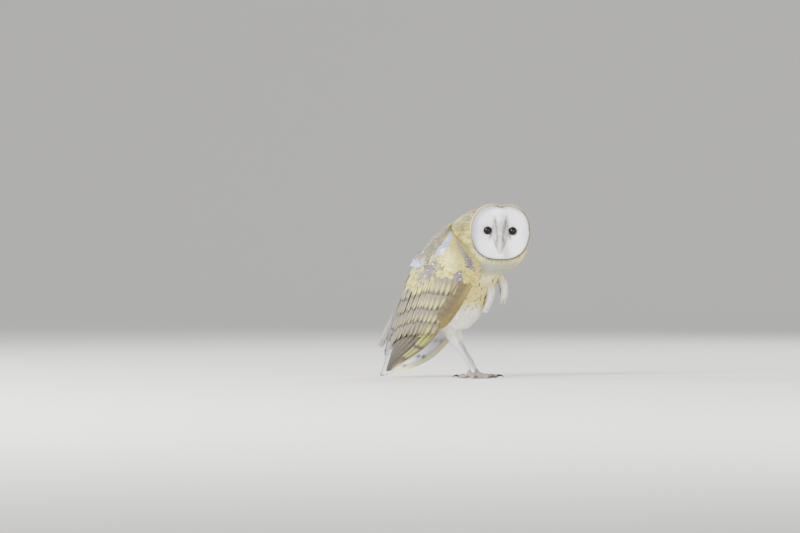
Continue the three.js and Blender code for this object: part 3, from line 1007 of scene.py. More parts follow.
    def snap(self, p: Array) -> tuple[Array, Array, Array]:
        """The nearest places on the skin.

        Args:
            p: (n, 3) points.

        Returns:
            Places, outward directions and face numbers.
        """
        found = [self.tree.find_nearest(q) for q in p.tolist()]
        places = np.array([f[0] for f in found])
        index = np.array([f[2] for f in found])
        return places, self.face_normals[index], index

    def piece(self, markings: "Markings", material: bpy.types.Material) -> bpy.types.Object:
        """Makes the skin's object and unwraps it.

        Args:
            markings: the bird's colours.
            material: its finish.

        Returns:
            The object.
        """
        tint = markings.body(self.points, self.normals) * 0.85
        piece = MeshData(self.points, self.faces, tint, bake=np.zeros((len(self.points), 2))).object(
            "skin", self.pose, material
        )
        bpy.context.view_layer.objects.active = piece
        piece.select_set(True)
        bpy.ops.object.mode_set(mode="EDIT")
        bpy.ops.mesh.select_all(action="SELECT")
        bpy.ops.uv.smart_project(angle_limit=math.radians(66), island_margin=0.004)
        bpy.ops.object.mode_set(mode="OBJECT")
        piece.select_set(False)
        uv = np.zeros(len(piece.data.loops) * 2)
        piece.data.uv_layers[BAKE_MAP].uv.foreach_get("vector", uv)
        self.maps = uv.reshape(-1, 4, 2).mean(1)
        return piece


# ---- markings ----
@dataclass
class Patch:
    """A soft oval of colour on the wing.

    Attributes:
        u: its middle along the wing.
        v: its middle across it.
        ru: half size along.
        rv: half size across.
        paint: its colour.
        strength: how strongly it covers.
        mottle: how strongly it is vermiculated.
        lean: how far it leans, in v for each u.
    """

    u: float
    v: float
    ru: float
    rv: float
    paint: Array
    strength: float = 0.9
    mottle: float = 0.0
    lean: float = 0.0

    def cover(self, u: Array, v: Array) -> Array:
        """How much of the patch is at a place."""
        du = (u - self.u) / self.ru
        dv = (v - self.v - self.lean * (u - self.u)) / self.rv
        return self.strength * ease(1.25, 0.6, np.hypot(du, dv))


class Markings:
    """The colours of the plumage, place by place."""

    WING = (
        Patch(0.32, 0.45, 0.34, 0.60, Paint.GOLD, 0.9),
        Patch(0.26, 0.50, 0.09, 0.17, linear("#e0d584"), 0.8),
        Patch(0.16, 0.30, 0.13, 0.22, linear("#b8ab5e"), 0.6, 0.4),
        Patch(0.15, 0.63, 0.15, 0.10, Paint.BLUE, 1.0, 0.05, 1.35),
        Patch(0.21, 0.66, 0.035, 0.05, Paint.WHITE, 0.9, 0.0, 1.0),
        Patch(0.39, 0.74, 0.085, 0.13, Paint.LILAC, 0.85, 1.0, 0.4),
        Patch(0.33, 0.585, 0.018, 0.028, linear("#6b4450"), 0.85, 0.3),
        Patch(0.12, 0.23, 0.06, 0.07, linear("#8e7c80"), 0.7, 0.8),
        Patch(0.20, 0.145, 0.075, 0.08, Paint.LILAC, 0.9, 1.0),
        Patch(0.345, 0.25, 0.04, 0.085, Paint.LILAC, 0.9, 0.9),
        Patch(0.28, 0.045, 0.075, 0.06, linear("#b5a066"), 0.8, 0.35),
        Patch(0.27, 0.02, 0.05, 0.03, linear("#d3b46e"), 0.8, 0.1),
        Patch(0.42, 0.88, 0.08, 0.06, linear("#b5ad62"), 0.8),
    )
    CHEVRON = np.array([[0, 0.43], [0.3, 0.437], [0.42, 0.445], [0.505, 0.455], [0.59, 0.47], [0.645, 0.492],
                        [0.71, 0.517], [0.775, 0.556], [0.84, 0.598], [1.0, 0.655]])
    BLOCKS = ((0.70, 0.17, 0.043, 0.085), (0.803, 0.165, 0.040, 0.075), (0.905, 0.10, 0.042, 0.09))

    def __init__(self, pose: Pose) -> None:
        """Keeps the pose and draws the noises.

        Args:
            pose: where the bird is.
        """
        self.pose = pose
        self.broad = Mottle(5)
        self.fine = Mottle(6)
        self.dots = Spots(7, 4.9)
        self.pearls = Spots(8, 6.8)

    def chevron(self, v: Array) -> Array:
        """Where along the wing the first row of dark points lies, at places across it."""
        return np.interp(v, self.CHEVRON[:, 0], self.CHEVRON[:, 1])

    def body(self, p: Array, out: Array) -> Array:
        """Colours of the head, neck, trunk and legs.

        Args:
            p: (n, 3) places in the bird's frame.
            out: (n, 3) outward directions there.

        Returns:
            (n, 3) colours.
        """
        h = self.pose.to_head(p)
        share = self.pose.disc_share(h)
        wobble = self.broad(p, 9.0) - 0.5
        fine = self.fine(p, 3.5) - 0.5
        upper = ease(-0.05, 0.6, out[..., 2] - 0.35 * out[..., 0] + 0.25 * wobble)
        colour = plain(Paint.BUFF, p.shape[:-1])
        colour = mixed(colour, Paint.CREAM, 0.45 + 1.2 * wobble)
        colour = mixed(colour, Paint.GOLD, upper * (0.7 + 0.5 * wobble))
        reach = np.linalg.norm(h, axis=-1)
        near_head = 1 - ease(56, 84, reach)
        side = near_head * ease(0.2, -0.5, (out @ self.pose.turn)[..., 0])
        colour = mixed(colour, linear("#857f4e"), side * 0.8)
        crown = near_head * ease(0.3, 0.8, out[..., 2] + 0.4 * wobble)
        colour = mixed(colour, Paint.CROWN, crown * 0.85)
        white = ease(120, 98, p[..., 2] + 0.22 * (p[..., 0] - 10) + 14 * wobble)
        colour = mixed(colour, Paint.BELLY, white * (1 - upper))
        # Painted shade under the facial disc: a grey-green band on the throat just below the ruff.
        down = 1 - ease(-44, -30, h[..., 2])
        chin_shade = down * ease(-24, 6, h[..., 0]) * ease(-64, -54, h[..., 2])
        colour = mixed(colour, Paint.BIB, chin_shade * ease(1.0, 1.08, share) * 0.9)
        cream = bump(h[..., 2] + 66, 7) * ease(-10, 10, h[..., 0])
        colour = mixed(colour, linear("#efe8b4"), 0.7 * cream)
        legs = ease(100, 84, p[..., 2]) * ease(-80, -60, p[..., 0])
        shank = mixed(plain(Paint.BELLY, p.shape[:-1]), linear("#a2a7b0"), 0.7 * ease(66, 44, p[..., 2]))
        colour = mixed(colour, shank, legs)
        rump = ease(-70, -92, p[..., 0]) * ease(0.1, 0.5, -out[..., 0])
        colour = mixed(colour, linear("#b39a4c"), 0.6 * rump)
        colour = colour * (1 + 0.2 * fine)[..., None]
        grey = ease(0.5, 0.62, self.broad(p + 40.0, 4.5)) * np.maximum(crown, 0.8 * upper)
        colour = mixed(colour, linear("#5f5a50"), 0.55 * grey)
        pearl = self.pearls.away(p)
        marked = np.maximum(crown, upper) * ease(1.0, 1.06, share)
        colour = mixed(colour, linear("#4a4334"), 0.6 * marked * ease(2.3, 1.7, pearl))
        colour = mixed(colour, Paint.WHITE, 0.9 * marked * ease(1.25, 0.9, pearl))
        dotted = (1 - np.maximum(0.8 * white, upper)) * ease(1.02, 1.1, share) * (1 - chin_shade)
        colour = mixed(colour, linear("#33291f"), 0.95 * dotted * ease(1.5, 1.05, self.dots.away(p)))
        front = self.pose.ahead(out) * ease(6, 14, h[..., 0]) * ease(1.04, 0.97, share)
        return mixed(colour, self.face(h), front)

    def face(self, h: Array) -> Array:
        """Colours of the facial disc at places of the head's frame."""
        y, z = h[..., 1], h[..., 2]
        side = np.abs(y)
        wobble = self.fine(h, 2.2) - 0.5
        colour = plain(Paint.FACE, h.shape[:-1])
        # Painted shade: a lavender tint on either side of the facial disc.
        colour = mixed(colour, Paint.LAVENDER, 0.6 * bump(side - 37, 6) * bump(z - 8, 18))
        ridge = bump(side, 8.5) * ease(-12, 8, z) * ease(42, 24, z)
        colour = mixed(colour, linear("#8f8e88"), 0.65 * ridge * (1 + wobble))
        streak = bump(side - 4.4 - 0.17 * np.maximum(z - 6, 0), 3.0) * ease(-14, 4, z) * ease(40, 24, z)
        colour = mixed(colour, linear("#6b6857"), 0.85 * streak * (1 + wobble))
        inner = bump(side - 11.5, 2.6) * bump(z - 15, 9)
        colour = mixed(colour, linear("#6a675c"), 0.7 * inner * (1 + wobble))
        tear = bump(side - 13.4 + 0.3 * (z - 8), 2.2) * bump(z - 6.5, 4.5)
        colour = mixed(colour, Paint.RUST, 0.9 * tear)
        line = bump(side - 6.0 - 0.4 * (z + 6), 1.7) * ease(-24, -14, z) * ease(8, 0, z)
        return mixed(colour, linear("#5f5d58"), 0.75 * line)

    def wing(self, u: Array, v: Array, p: Array) -> tuple[Array, Array]:
        """Colours of the wing's small feathers.

        Args:
            u: places along the wing.
            v: places across it.
            p: (n, 3) the same places in the bird's frame.

        Returns:
            (n, 3) colours, and (n,) strengths of the vermiculation.
        """
        wobble = self.broad(p, 8.0) - 0.5
        fine = self.fine(p, 3.0) - 0.5
        colour = plain(Paint.GOLD, u.shape)
        mottle = np.full(u.shape, 0.15)
        v2 = v + 0.06 * wobble
        u2 = u + 0.035 * fine
        for patch in self.WING:
            cover = patch.cover(u2, v2)
            colour = mixed(colour, patch.paint, cover)
            mottle = mottle * (1 - cover) + patch.mottle * cover
        back = ease(0.9, 1.0, v2) * ease(0.06, 0.16, u2)
        colour = mixed(colour, Paint.OLIVE, 0.4 * back)
        return colour * (1 + 0.2 * fine + 0.15 * wobble)[..., None], mottle

    def flight(self, u: Array, v: Array) -> Array:
        """Colours of the long feathers over the lower wing: mauve, then olive-brown, dark at the tip.

        Args:
            u: places along the wing.
            v: places across it.

        Returns:
            The colours.
        """
        colour = mixed(plain(Paint.PALE, u.shape), Paint.MAUVE, ease(0.52, 0.66, u + 0.2 * (v - 0.5)))
        colour = mixed(colour, linear("#443e2f"), ease(0.62, 0.78, u + 0.1 * v))
        colour = mixed(colour, Paint.TIP, ease(0.82, 0.98, u))
        for number, (mid_u, mid_v, half_u, half_v) in enumerate(self.BLOCKS):
            inside = ease(1.12, 0.94, np.abs(u - mid_u) / half_u)
            inside = inside * ease(1.25, 0.9, np.abs(v - mid_v) / half_v)
            colour = mixed(colour, Paint.BLOCK if number < 2 else linear("#62563a"), 0.95 * inside)
            bar = bump(u - mid_u - half_u - 0.009, 0.010) * ease(0.34, 0.24, v)
            colour = mixed(colour, linear("#473d48"), 0.85 * bar)
        return colour

    def scapular(self, u: Array, v: Array, p: Array) -> tuple[Array, Array]:
        """Colours of the shoulder feathers, as for the wing."""
        wobble = self.broad(p, 7.0) - 0.5
        colour = mixed(plain(Paint.OLIVE, u.shape), linear("#857b45"), 0.3 + wobble)
        colour = mixed(colour, linear("#6f6b68"), ease(0.9, 1.0, v) * 0.5)
        colour = mixed(colour, Paint.BLUE, ease(0.345, 0.385, u) * 0.9)
        return colour, np.full(u.shape, 0.75)


# ---- body coat ----
@dataclass
class CoatPiece:
    """One piece of the body's coat and how its feathers are cut.

    Attributes:
        name: the piece's name.
        spacing: distance between roots.
        length: a feather's length.
        half: its half width.
        rows: faces along it.
        columns: faces across it.
        lift: height of its tip over the skin.
        ragged: unevenness of its tip.
        yaw: how far it may turn off the lie of the coat, in radians.
        slot: a material slot's name, handed on to settle.
    """

    name: str
    spacing: float
    length: float
    half: float
    rows: int
    columns: int
    lift: float
    ragged: float
    yaw: float
    slot: str


class BodyCoat:
    """Small feathers over the skin, following the lie of the coat."""

    PIECES = {
        "face": CoatPiece("face_feathers", 0.80, 4.2, 0.60, 2, 2, 0.8, 0.10, 0.12, "white_plumage"),
        "crown": CoatPiece("crown_feathers", 1.35, 7.0, 1.30, 3, 3, 1.8, 0.16, 0.12, "golden_plumage"),
        "neck": CoatPiece("neck_feathers", 1.55, 9.5, 1.60, 4, 3, 2.2, 0.16, 0.14, "golden_plumage"),
        "back": CoatPiece("back_feathers", 2.20, 13.5, 2.90, 4, 5, 3.0, 0.12, 0.10, "golden_plumage"),
        "breast": CoatPiece("breast_feathers", 1.65, 11.0, 1.80, 4, 4, 2.8, 0.18, 0.14, "buff_plumage"),
        "belly": CoatPiece("belly_feathers", 1.65, 14.0, 1.70, 4, 4, 4.2, 0.25, 0.24, "white_plumage"),
        "leg": CoatPiece("leg_feathers", 1.10, 6.0, 0.85, 3, 2, 1.1, 0.20, 0.18, "white_plumage"),
    }
    SPINE = np.array(
        [[50, 232], [34, 224], [18, 213], [1, 195], [-13, 178], [-33, 152], [-56, 128], [-82, 112],
         [-107, 100]], float
    )

    def __init__(self, pose: Pose, skin: Skin, markings: Markings, wings: Sequence["Wing"]) -> None:
        """Keeps what the coat lies on.

        Args:
            pose: where the bird is.
            skin: the skin.
            markings: the colours.
            wings: both wings, whose own feathers cover part of the skin.
        """
        self.pose = pose
        self.skin = skin
        self.markings = markings
        self.covered = self._under_wings(wings)

    def _under_wings(self, wings: Sequence["Wing"]) -> Array:
        """Which faces of the skin the wings' own feathers cover."""
        covered = np.zeros(len(self.skin.faces), bool)
        for wing in wings:
            u, v = np.meshgrid(np.linspace(0.1, 0.56, 52), np.linspace(0.06, 0.94, 40), indexing="ij")
            places = wing.point(u, v).reshape(-1, 3)
            tree = KDTree(len(places))
            for i, q in enumerate(places):
                tree.insert(q, i)
            tree.balance()
            near = np.array([tree.find(c)[2] for c in self.skin.face_centres.tolist()])
            covered |= near < 6.5
        return covered

    def flow(self, p: Array) -> Array:
        """The lie of the coat, as directions in space before they are laid on the skin.

        Args:
            p: (n, 3) places.

        Returns:
            (n, 3) directions.
        """
        spine = row_at(self.SPINE, np.linspace(0, 1, 60))
        run = np.gradient(spine, axis=0)
        near = ((p[:, None, [0, 2]] - spine[None]) ** 2).sum(-1).argmin(1)
        body = np.stack([run[near, 0], np.zeros(len(p)), run[near, 1]], -1)
        h = self.pose.to_head(p)
        radial = np.stack([np.zeros(len(p)), h[:, 1], h[:, 2] - self.pose.disc_up], -1)
        back = unit(radial) * 0.8 + np.array([-1.0, 0, 0])
        head = unit(back) @ self.pose.turn.T
        near_head = bump(np.maximum(np.linalg.norm(h, axis=-1) - 46, 0), 16)[:, None]
        leg = (ease(104, 86, p[:, 2]) * ease(-95, -80, p[:, 0]) * ease(4, 10, np.abs(p[:, 1])))[:, None]
        down = np.array([0.35, 0, -1.0])
        mix = unit(body) * (1 - near_head) + unit(head) * near_head
        mix = unit(mix) * (1 - leg) + unit(down) * leg
        on_face = self.pose.disc_share(h) < 1.02
        on_face &= h[:, 0] > 6
        mix[on_face] = self.face_flow(h[on_face]) @ self.pose.turn.T
        return unit(mix)

    def on_face(self, h: Array, out: Array) -> Array:
        """Which places of the head's frame, with their outward directions, are on the facial disc."""
        return (self.pose.disc_share(h) < 0.985) & (h[..., 0] > 6) & (self.pose.ahead(out) > 0.5)

    def face_flow(self, h: Array) -> Array:
        """The lie of the face's feathers: out from the eyes, and down the ridge to the bill."""
        y, z = h[..., 1], h[..., 2]
        side = np.where(y < 0, -1.0, 1.0)
        away = np.stack([np.zeros_like(y), y - side * 11.0, z - 6.0], -1)
        ridge = bump(y, 6.5) * ease(-20, -8, z)
        down = np.stack([np.zeros_like(y), side * 0.25, -np.ones_like(y)], -1)
        return unit(unit(away) * (1 - ridge[..., None]) + down * ridge[..., None])

    def region(self, p: Array, out: Array) -> Array:
        """The name of the coat piece at each place."""
        h = self.pose.to_head(p)
        names = np.full(len(p), "breast", dtype="<U8")
        upper = out[:, 2] - 0.4 * out[:, 0] > 0.12
        names[upper] = "back"
        names[(p[:, 2] < 112) & ~upper] = "belly"
        reach = np.linalg.norm(h, axis=-1)
        names[(reach < 88) & (p[:, 2] > 165)] = "neck"
        names[reach < 60] = "crown"
        names[(p[:, 2] < 88) & (p[:, 0] > -60)] = "leg"
        names[(self.pose.disc_share(h) < 1.045) & (h[:, 0] > 8)] = "rim"
        names[self.on_face(h, out)] = "face"
        return names

    def roots(self, piece: CoatPiece, chosen: Array, rng: np.random.Generator) -> Array:
        """Evenly scattered roots.

        Args:
            piece: the coat piece.
            chosen: numbers of the skin's faces that carry it.
            rng: random numbers.

        Returns:
            (n, 3) places on the skin.
        """
        corners = self.skin.points[self.skin.faces[chosen]]
        area = np.linalg.norm(
            np.cross(corners[:, 2] - corners[:, 0], corners[:, 3] - corners[:, 1]), axis=-1
        ) / 2
        count = int(5 * area.sum() / piece.spacing**2)
        pick = rng.choice(len(chosen), count, p=area / area.sum())
        a, b = rng.random((2, count, 1))
        c = corners[pick]
        spots = (c[:, 0] * (1 - a) + c[:, 1] * a) * (1 - b) + (c[:, 3] * (1 - a) + c[:, 2] * a) * b
        return spots[self.spread(spots, 0.82 * piece.spacing)]

    @staticmethod
    def spread(spots: Array, spacing: float) -> list[int]:
        """Numbers of points kept so that none lies nearer to another than the spacing."""
        taken: dict[tuple[int, ...], list[list[float]]] = {}
        kept = []
        cells = np.floor(spots / spacing).astype(int).tolist()
        around = [(x, y, z) for x in (-1, 0, 1) for y in (-1, 0, 1) for z in (-1, 0, 1)]
        for i, ((cx, cy, cz), q) in enumerate(zip(cells, spots.tolist())):
            near = (r for x, y, z in around for r in taken.get((cx + x, cy + y, cz + z), ()))
            if all(math.dist(q, r) >= spacing for r in near):
                taken.setdefault((cx, cy, cz), []).append(q)
                kept.append(i)
        return kept

    def paths(
        self, roots: Array, length: Array, lift: Array, yaw: Array, steps: int
    ) -> tuple[Array, Array, Array]:
        """Middle lines that run over the skin from their roots.

        Args:
            roots: (n, 3) places on the skin.
            length: (n,) lengths.
            lift: (n,) heights of the tips.
            yaw: (n,) turns off the lie.
            steps: pieces in each line.

        Returns:
            Lines, outward directions, and the faces of the roots.
        """
        place, out, index = self.skin.snap(roots)
        run = self.flow(place)
        run = level(run, out)
        run = unit(run + np.cross(out, run) * np.tan(yaw)[:, None])
        line, outs = [place], [out]
        for _ in range(steps):
            target = line[-1] + run * (length / steps)[:, None]
            found, turned, _ = self.skin.snap(target)
            local = self.flow(found)
            local = level(local, turned)
            run = level(run, turned) * 0.75 + local * 0.25
            run = level(run, turned)
            line.append(found)
            outs.append(turned)
        path, out = np.stack(line, 1), np.stack(outs, 1)
        rise = np.linspace(0, 1, steps + 1)[None, :] ** 0.85 * lift[:, None]
        return path + out * (rise + 0.15)[..., None], out, index

    def build(self, key: str, seed: int, material: bpy.types.Material) -> bpy.types.Object:
        """Makes one piece of the coat.

        Args:
            key: which piece.
            seed: seed of its random numbers.
            material: the feathers' finish.

        Returns:
            The object.
        """
        piece = self.PIECES[key]
        rng = np.random.default_rng(seed)
        names = self.region(self.skin.face_centres, self.skin.face_normals)
        chosen = np.flatnonzero((names == key) & ~self.covered)
        roots = self.roots(piece, chosen, rng)
        n = len(roots)
        size = 0.85 + 0.3 * rng.random(n)
        if key == "face":
            h = self.pose.to_head(roots)
            eye = np.hypot(np.abs(h[:, 1]) - self.pose.eye_aside, h[:, 2] - self.pose.eye_up)
            size *= 0.45 + 0.55 * ease(6, 16, eye)
        if key == "leg":
            size *= 0.75 + 0.75 * ease(52, 88, roots[:, 2])
        yaw = piece.yaw * rng.standard_normal(n)
        lift = piece.lift * (0.75 + 0.5 * rng.random(n))
        path, out, index = self.paths(roots, piece.length * size, lift, yaw, piece.rows)
        tip = path[:, -1]
        tint = self.markings.body(tip if key != "face" else roots, out[:, -1])
        tint = tint * (0.94 + 0.12 * rng.random((n, 1)))
        marks = self.marks(key, tip, out[:, -1], rng)
        vanes = Vanes(path, out, piece.half * (0.9 + 0.2 * rng.random(n)), tint, marks, self.skin.maps[index])
        shade = 0.05 if key in ("face", "leg", "belly") else 0.15
        mesh = vanes.mesh(piece.rows, piece.columns, seed + 1, ragged=piece.ragged, root_shade=shade)
        LOG.info("%s: %d feathers", piece.name, n)
        return mesh.object(piece.name, self.pose, material)

    def marks(self, key: str, p: Array, out: Array, rng: np.random.Generator) -> Array:
        """Dots, drops and mottling of the feathers of a piece."""
        marks = np.zeros((len(p), 4))
        if key in ("neck", "crown"):
            marks[:, 2] = 0.2 + 0.5 * ease(0.1, 0.7, out[:, 2])
        if key == "back":
            chosen = self.spread(p, 7.0)
            marks[chosen, 0] = marks[chosen, 1] = 0.6 + 0.4 * rng.random(len(chosen))
            marks[:, 2] = 0.7
        return marks


class Ruff:
    """The ruff: rings of short stiff feathers that stand round the facial disc."""

    RINGS = (
        ((0.945, -7.0), (0.975, -3.2), (0.997, -0.6)),
        ((0.975, -6.0), (0.998, -1.8), (1.018, 0.2)),
        ((0.995, -5.0), (1.02, -0.8), (1.04, -0.6)),
        ((1.01, -3.5), (1.042, -2.2), (1.058, -5.5)),
        ((1.03, -3.5), (1.056, -6.0), (1.064, -11.5)),
        ((1.04, -7.5), (1.062, -11.0), (1.066, -17.5)),
    )

    def __init__(self, pose: Pose, skin: Skin, count: int = 340) -> None:
        """Keeps the sizes.

        Args:
            pose: where the bird is.
            skin: the skin, for its map.
            count: feathers in a ring.
        """
        self.pose = pose
        self.skin = skin
        self.count = count

    def build(self, seed: int, material: bpy.types.Material) -> bpy.types.Object:
        """Makes the rings."""
        rng = np.random.default_rng(seed)
        parts = []
        for ring, profile in enumerate(self.RINGS):
            a = (np.arange(self.count) + rng.random(self.count)) * 2 * math.pi / self.count
            vanes = self._ring(ring, np.array(profile), a, rng)
            parts.append(vanes.mesh(3, 2, seed + ring, ragged=0.12, camber=0.2))
        return MeshData.joined(parts).object("ruff_feathers", self.pose, material)

    def _ring(self, ring: int, profile: Array, a: Array, rng: np.random.Generator) -> Vanes:
        """One ring of feathers.

        Args:
            ring: its number, innermost first.
            profile: share of the disc's radius and place ahead, root to tip.
            a: angles of its feathers.
            rng: random numbers.

        Returns:
            The feathers.
        """
        knots = row_at(profile, np.linspace(0, 1, 4))
        lean = 0.03 * rng.standard_normal((len(a), 1)) * np.linspace(0, 1, 4)
        angle = a[:, None] + lean
        jitter = 1 + 0.006 * rng.standard_normal((len(a), 1)) * np.linspace(0, 1, 4)
        r = self.pose.disc_radius * self.pose.heart(angle % (2 * math.pi)) * knots[None, :, 0] * jitter
        ahead = self.pose.rim_ahead + np.broadcast_to(knots[None, :, 1], r.shape)
        h = np.stack([ahead, r * np.cos(angle), self.pose.disc_up + r * np.sin(angle)], -1)
        run = np.gradient(h, axis=1)
        round_ = np.stack([np.zeros_like(r), -np.sin(angle), np.cos(angle)], -1)
        out = unit(np.cross(run, round_))
        middle = unit(h - np.array([self.pose.rim_ahead - 14, 0, self.pose.disc_up]))
        out = out * np.sign(dot(out, middle) + 1e-6)
        tint = self._tint(ring, a, rng)
        path = self.pose.from_head(h)
        _, _, index = self.skin.snap(path[:, 0])
        marks = np.zeros((len(a), 4))
        return Vanes(path, out @ self.pose.turn.T, np.full(len(a), 0.85), tint, marks, self.skin.maps[index])

    def _tint(self, ring: int, a: Array, rng: np.random.Generator) -> Callable[[Array, Array], Array]:
        """Colours of a ring: pale roots and browner tips, darkest at the brow and under the chin."""
        low = ease(0.1, -0.6, np.sin(a))
        brow = bump((a - math.pi / 2), 0.28)
        far = ease(0.2, 0.9, np.cos(a))
        base = plain((Paint.FACE, Paint.CREAM, Paint.BUFF)[ring // 2], a.shape)
        dark = mixed(plain(linear("#8d7f4a"), a.shape), linear("#39342a"), np.maximum(low, far * 0.8))
        dark = mixed(dark, Paint.BROWN, brow)
        strong = (0.2, 0.9, 1.0, 0.85, 0.45, 0.3)[ring]
        strength = strong * (0.35 + 0.65 * np.maximum(np.maximum(low, brow), far * 0.9))
        chance = 0.8 + 0.4 * rng.random(len(a))

        def tint(along: Array, across: Array) -> Array:
            """Colour along a feather."""
            share = (strength * chance)[:, None, None] * ease(0.25, 0.55, along)
            return mixed(plain(base[:, None, None], along.shape), dark[:, None, None], share)

        return tint


# ---- wings ----
@dataclass
class FlightRow:
    """A row of long feathers of the folded wing.

    Attributes:
        roots: places of their roots, u and v, first and last feather.
        tips: places of their tips, u and v, control rows from first to last.
        count: feathers in the row.
        half: half width, first and last.
        lift: height over the wing's surface, first and last.
        shaft: where the shaft lies across the vane.
        thick: thickness.
    """

    roots: Array
    tips: Array
    count: int
    half: tuple[float, float]
    lift: tuple[float, float]
    shaft: float = 0.4
    thick: float = 0.5


@dataclass
class Wing:
    """One folded wing: a curved surface with rows of feathers laid on it.

    The surface has u along it, shoulder to tip, and v across it, from the leading to the dorsal edge.
    """

    side: Side
    pose: Pose
    shift: tuple[float, float, float] = (0.0, 0.0, 0.0)
    sag: float = 0.0
    leading: Array = field(
        default_factory=lambda: np.array(
            [[-5, -44, 222], [19, -54, 197], [32, -57, 170], [16, -60, 140], [-5, -59, 106], [-30, -54, 76],
             [-61, -46, 47], [-101, -36, 24], [-136, -25, 9]], float)
    )
    middle: Array = field(
        default_factory=lambda: np.array(
            [[-18, -47, 236], [-14, -59, 212], [-14, -64, 188], [-29, -66, 157], [-51, -64, 121],
             [-75, -56, 94], [-97, -46, 66], [-119, -34, 40], [-138, -23, 13]], float)
    )
    dorsal: Array = field(
        default_factory=lambda: np.array(
            [[-24, -20, 248], [-47, -15, 230], [-70, -12, 207], [-89, -11, 182], [-103, -11, 156],
             [-114, -11, 128], [-122, -12, 98], [-129, -15, 60], [-138, -20, 16]], float)
    )
    LENGTH: ClassVar[float] = 290.0
    SPREAD: ClassVar[float] = 130.0
    ROWS: ClassVar[tuple[tuple[float, float, float], ...]] = (
        (0.0, 1.5, 1.0), (0.078, 1.0, 1.0), (0.155, 0.5, 0.95), (0.225, 0.1, 0.7)
    )

    primaries: FlightRow = field(
        default_factory=lambda: FlightRow(
            np.array([[0.50, 0.12], [0.52, 0.72]]),
            np.array([[0.965, 0.1], [0.995, 0.3], [0.98, 0.5], [0.95, 0.66], [0.91, 0.78], [0.865, 0.88]]),
            10, (9.5, 11.5), (-4.6, -3.0), 0.3, 0.7)
    )
    secondaries: FlightRow = field(
        default_factory=lambda: FlightRow(
            np.array([[0.42, 0.1], [0.36, 0.9]]),
            np.array([[0.655, 0.09], [0.70, 0.25], [0.73, 0.45], [0.745, 0.65], [0.74, 0.8], [0.72, 0.93]]),
            13, (10.0, 10.5), (-2.2, -1.6), 0.42, 0.5)
    )

    def point(self, u: Array, v: Array) -> Array:
        """Places on the wing's surface, in the bird's frame."""
        lead, mid, dors = (row_at(line, u) for line in (self.leading, self.middle, self.dorsal))
        control = 2 * mid - 0.5 * (lead + dors)
        w = np.asarray(v, float)[..., None]
        p = lead * (1 - w) ** 2 + control * 2 * w * (1 - w) + dors * w * w
        p = p + np.array(self.shift) * ease(0.3, 0.8, u)[..., None]
        p = p - np.array([0, 0, 1.0]) * (self.sag * bump(np.asarray(u) - 0.7, 0.18))[..., None]
        return p * np.array([1.0, -self.side.value, 1.0])

    def outward(self, u: Array, v: Array) -> Array:
        """Outward directions of the wing's surface."""
        along = self.point(u + 0.01, v) - self.point(u - 0.01, v)
        across = self.point(u, v + 0.01) - self.point(u, v - 0.01)
        return unit(np.cross(across, along)) * -self.side.value

    def flesh(self) -> list[MeshData]:
        """Flesh under the wing's front margin, where it meets the neck."""
        edge = np.linspace(0, 1, 14)
        over = self.point(np.full(14, 0.035), edge) - self.outward(np.full(14, 0.035), edge) * 12.5
        down = self.point(edge * 0.2, np.full(14, 0.08)) - self.outward(edge * 0.2, np.full(14, 0.08)) * 10
        return [tube(over, np.full(14, 12.5), 12), tube(down, np.full(14, 9.5), 12)]

    def lines(
        self, root: Array, tip: Array, lift_root: Array, lift_tip: Array, steps: int
    ) -> tuple[Array, Array, Array]:
        """Middle lines over the surface.

        Args:
            root: (n, 2) places of the roots.
            tip: (n, 2) places of the tips.
            lift_root: (n,) heights of the roots.
            lift_tip: (n,) heights of the tips.
            steps: pieces in each line.

        Returns:
            Lines, outward directions, and the (n, k, 2) places on the surface.
        """
        s = np.linspace(0, 1, steps + 1)[None, :, None]
        uv = root[:, None] * (1 - s) + tip[:, None] * s
        out = self.outward(uv[..., 0], uv[..., 1])
        lift = lift_root[:, None, None] * (1 - s) + lift_tip[:, None, None] * s
        path = self.point(uv[..., 0], uv[..., 1]) + out * lift
        keep = 0.25
        path[..., 1] = np.where(path[..., 1] * self.side.value < keep, keep * self.side.value, path[..., 1])
        return path, out, uv

    def named(self, word: str) -> str:
        """A piece's name on this wing."""
        return f"wing_{self.side.word}_{word}"

    def bake_grid(self, n: int, first: int, total: int) -> tuple[Array, float]:
        """Cells of their own on the map for baking.

        Args:
            n: feathers that need one.
            first: the first cell that is free.
            total: cells in all.

        Returns:
            (n, 2) middles of the cells, and the size of a cell.
        """
        per_row = math.ceil(math.sqrt(total))
        k = np.arange(first, first + n)
        return np.stack([(k % per_row + 0.5) / per_row, (k // per_row + 0.5) / per_row], -1), 0.9 / per_row

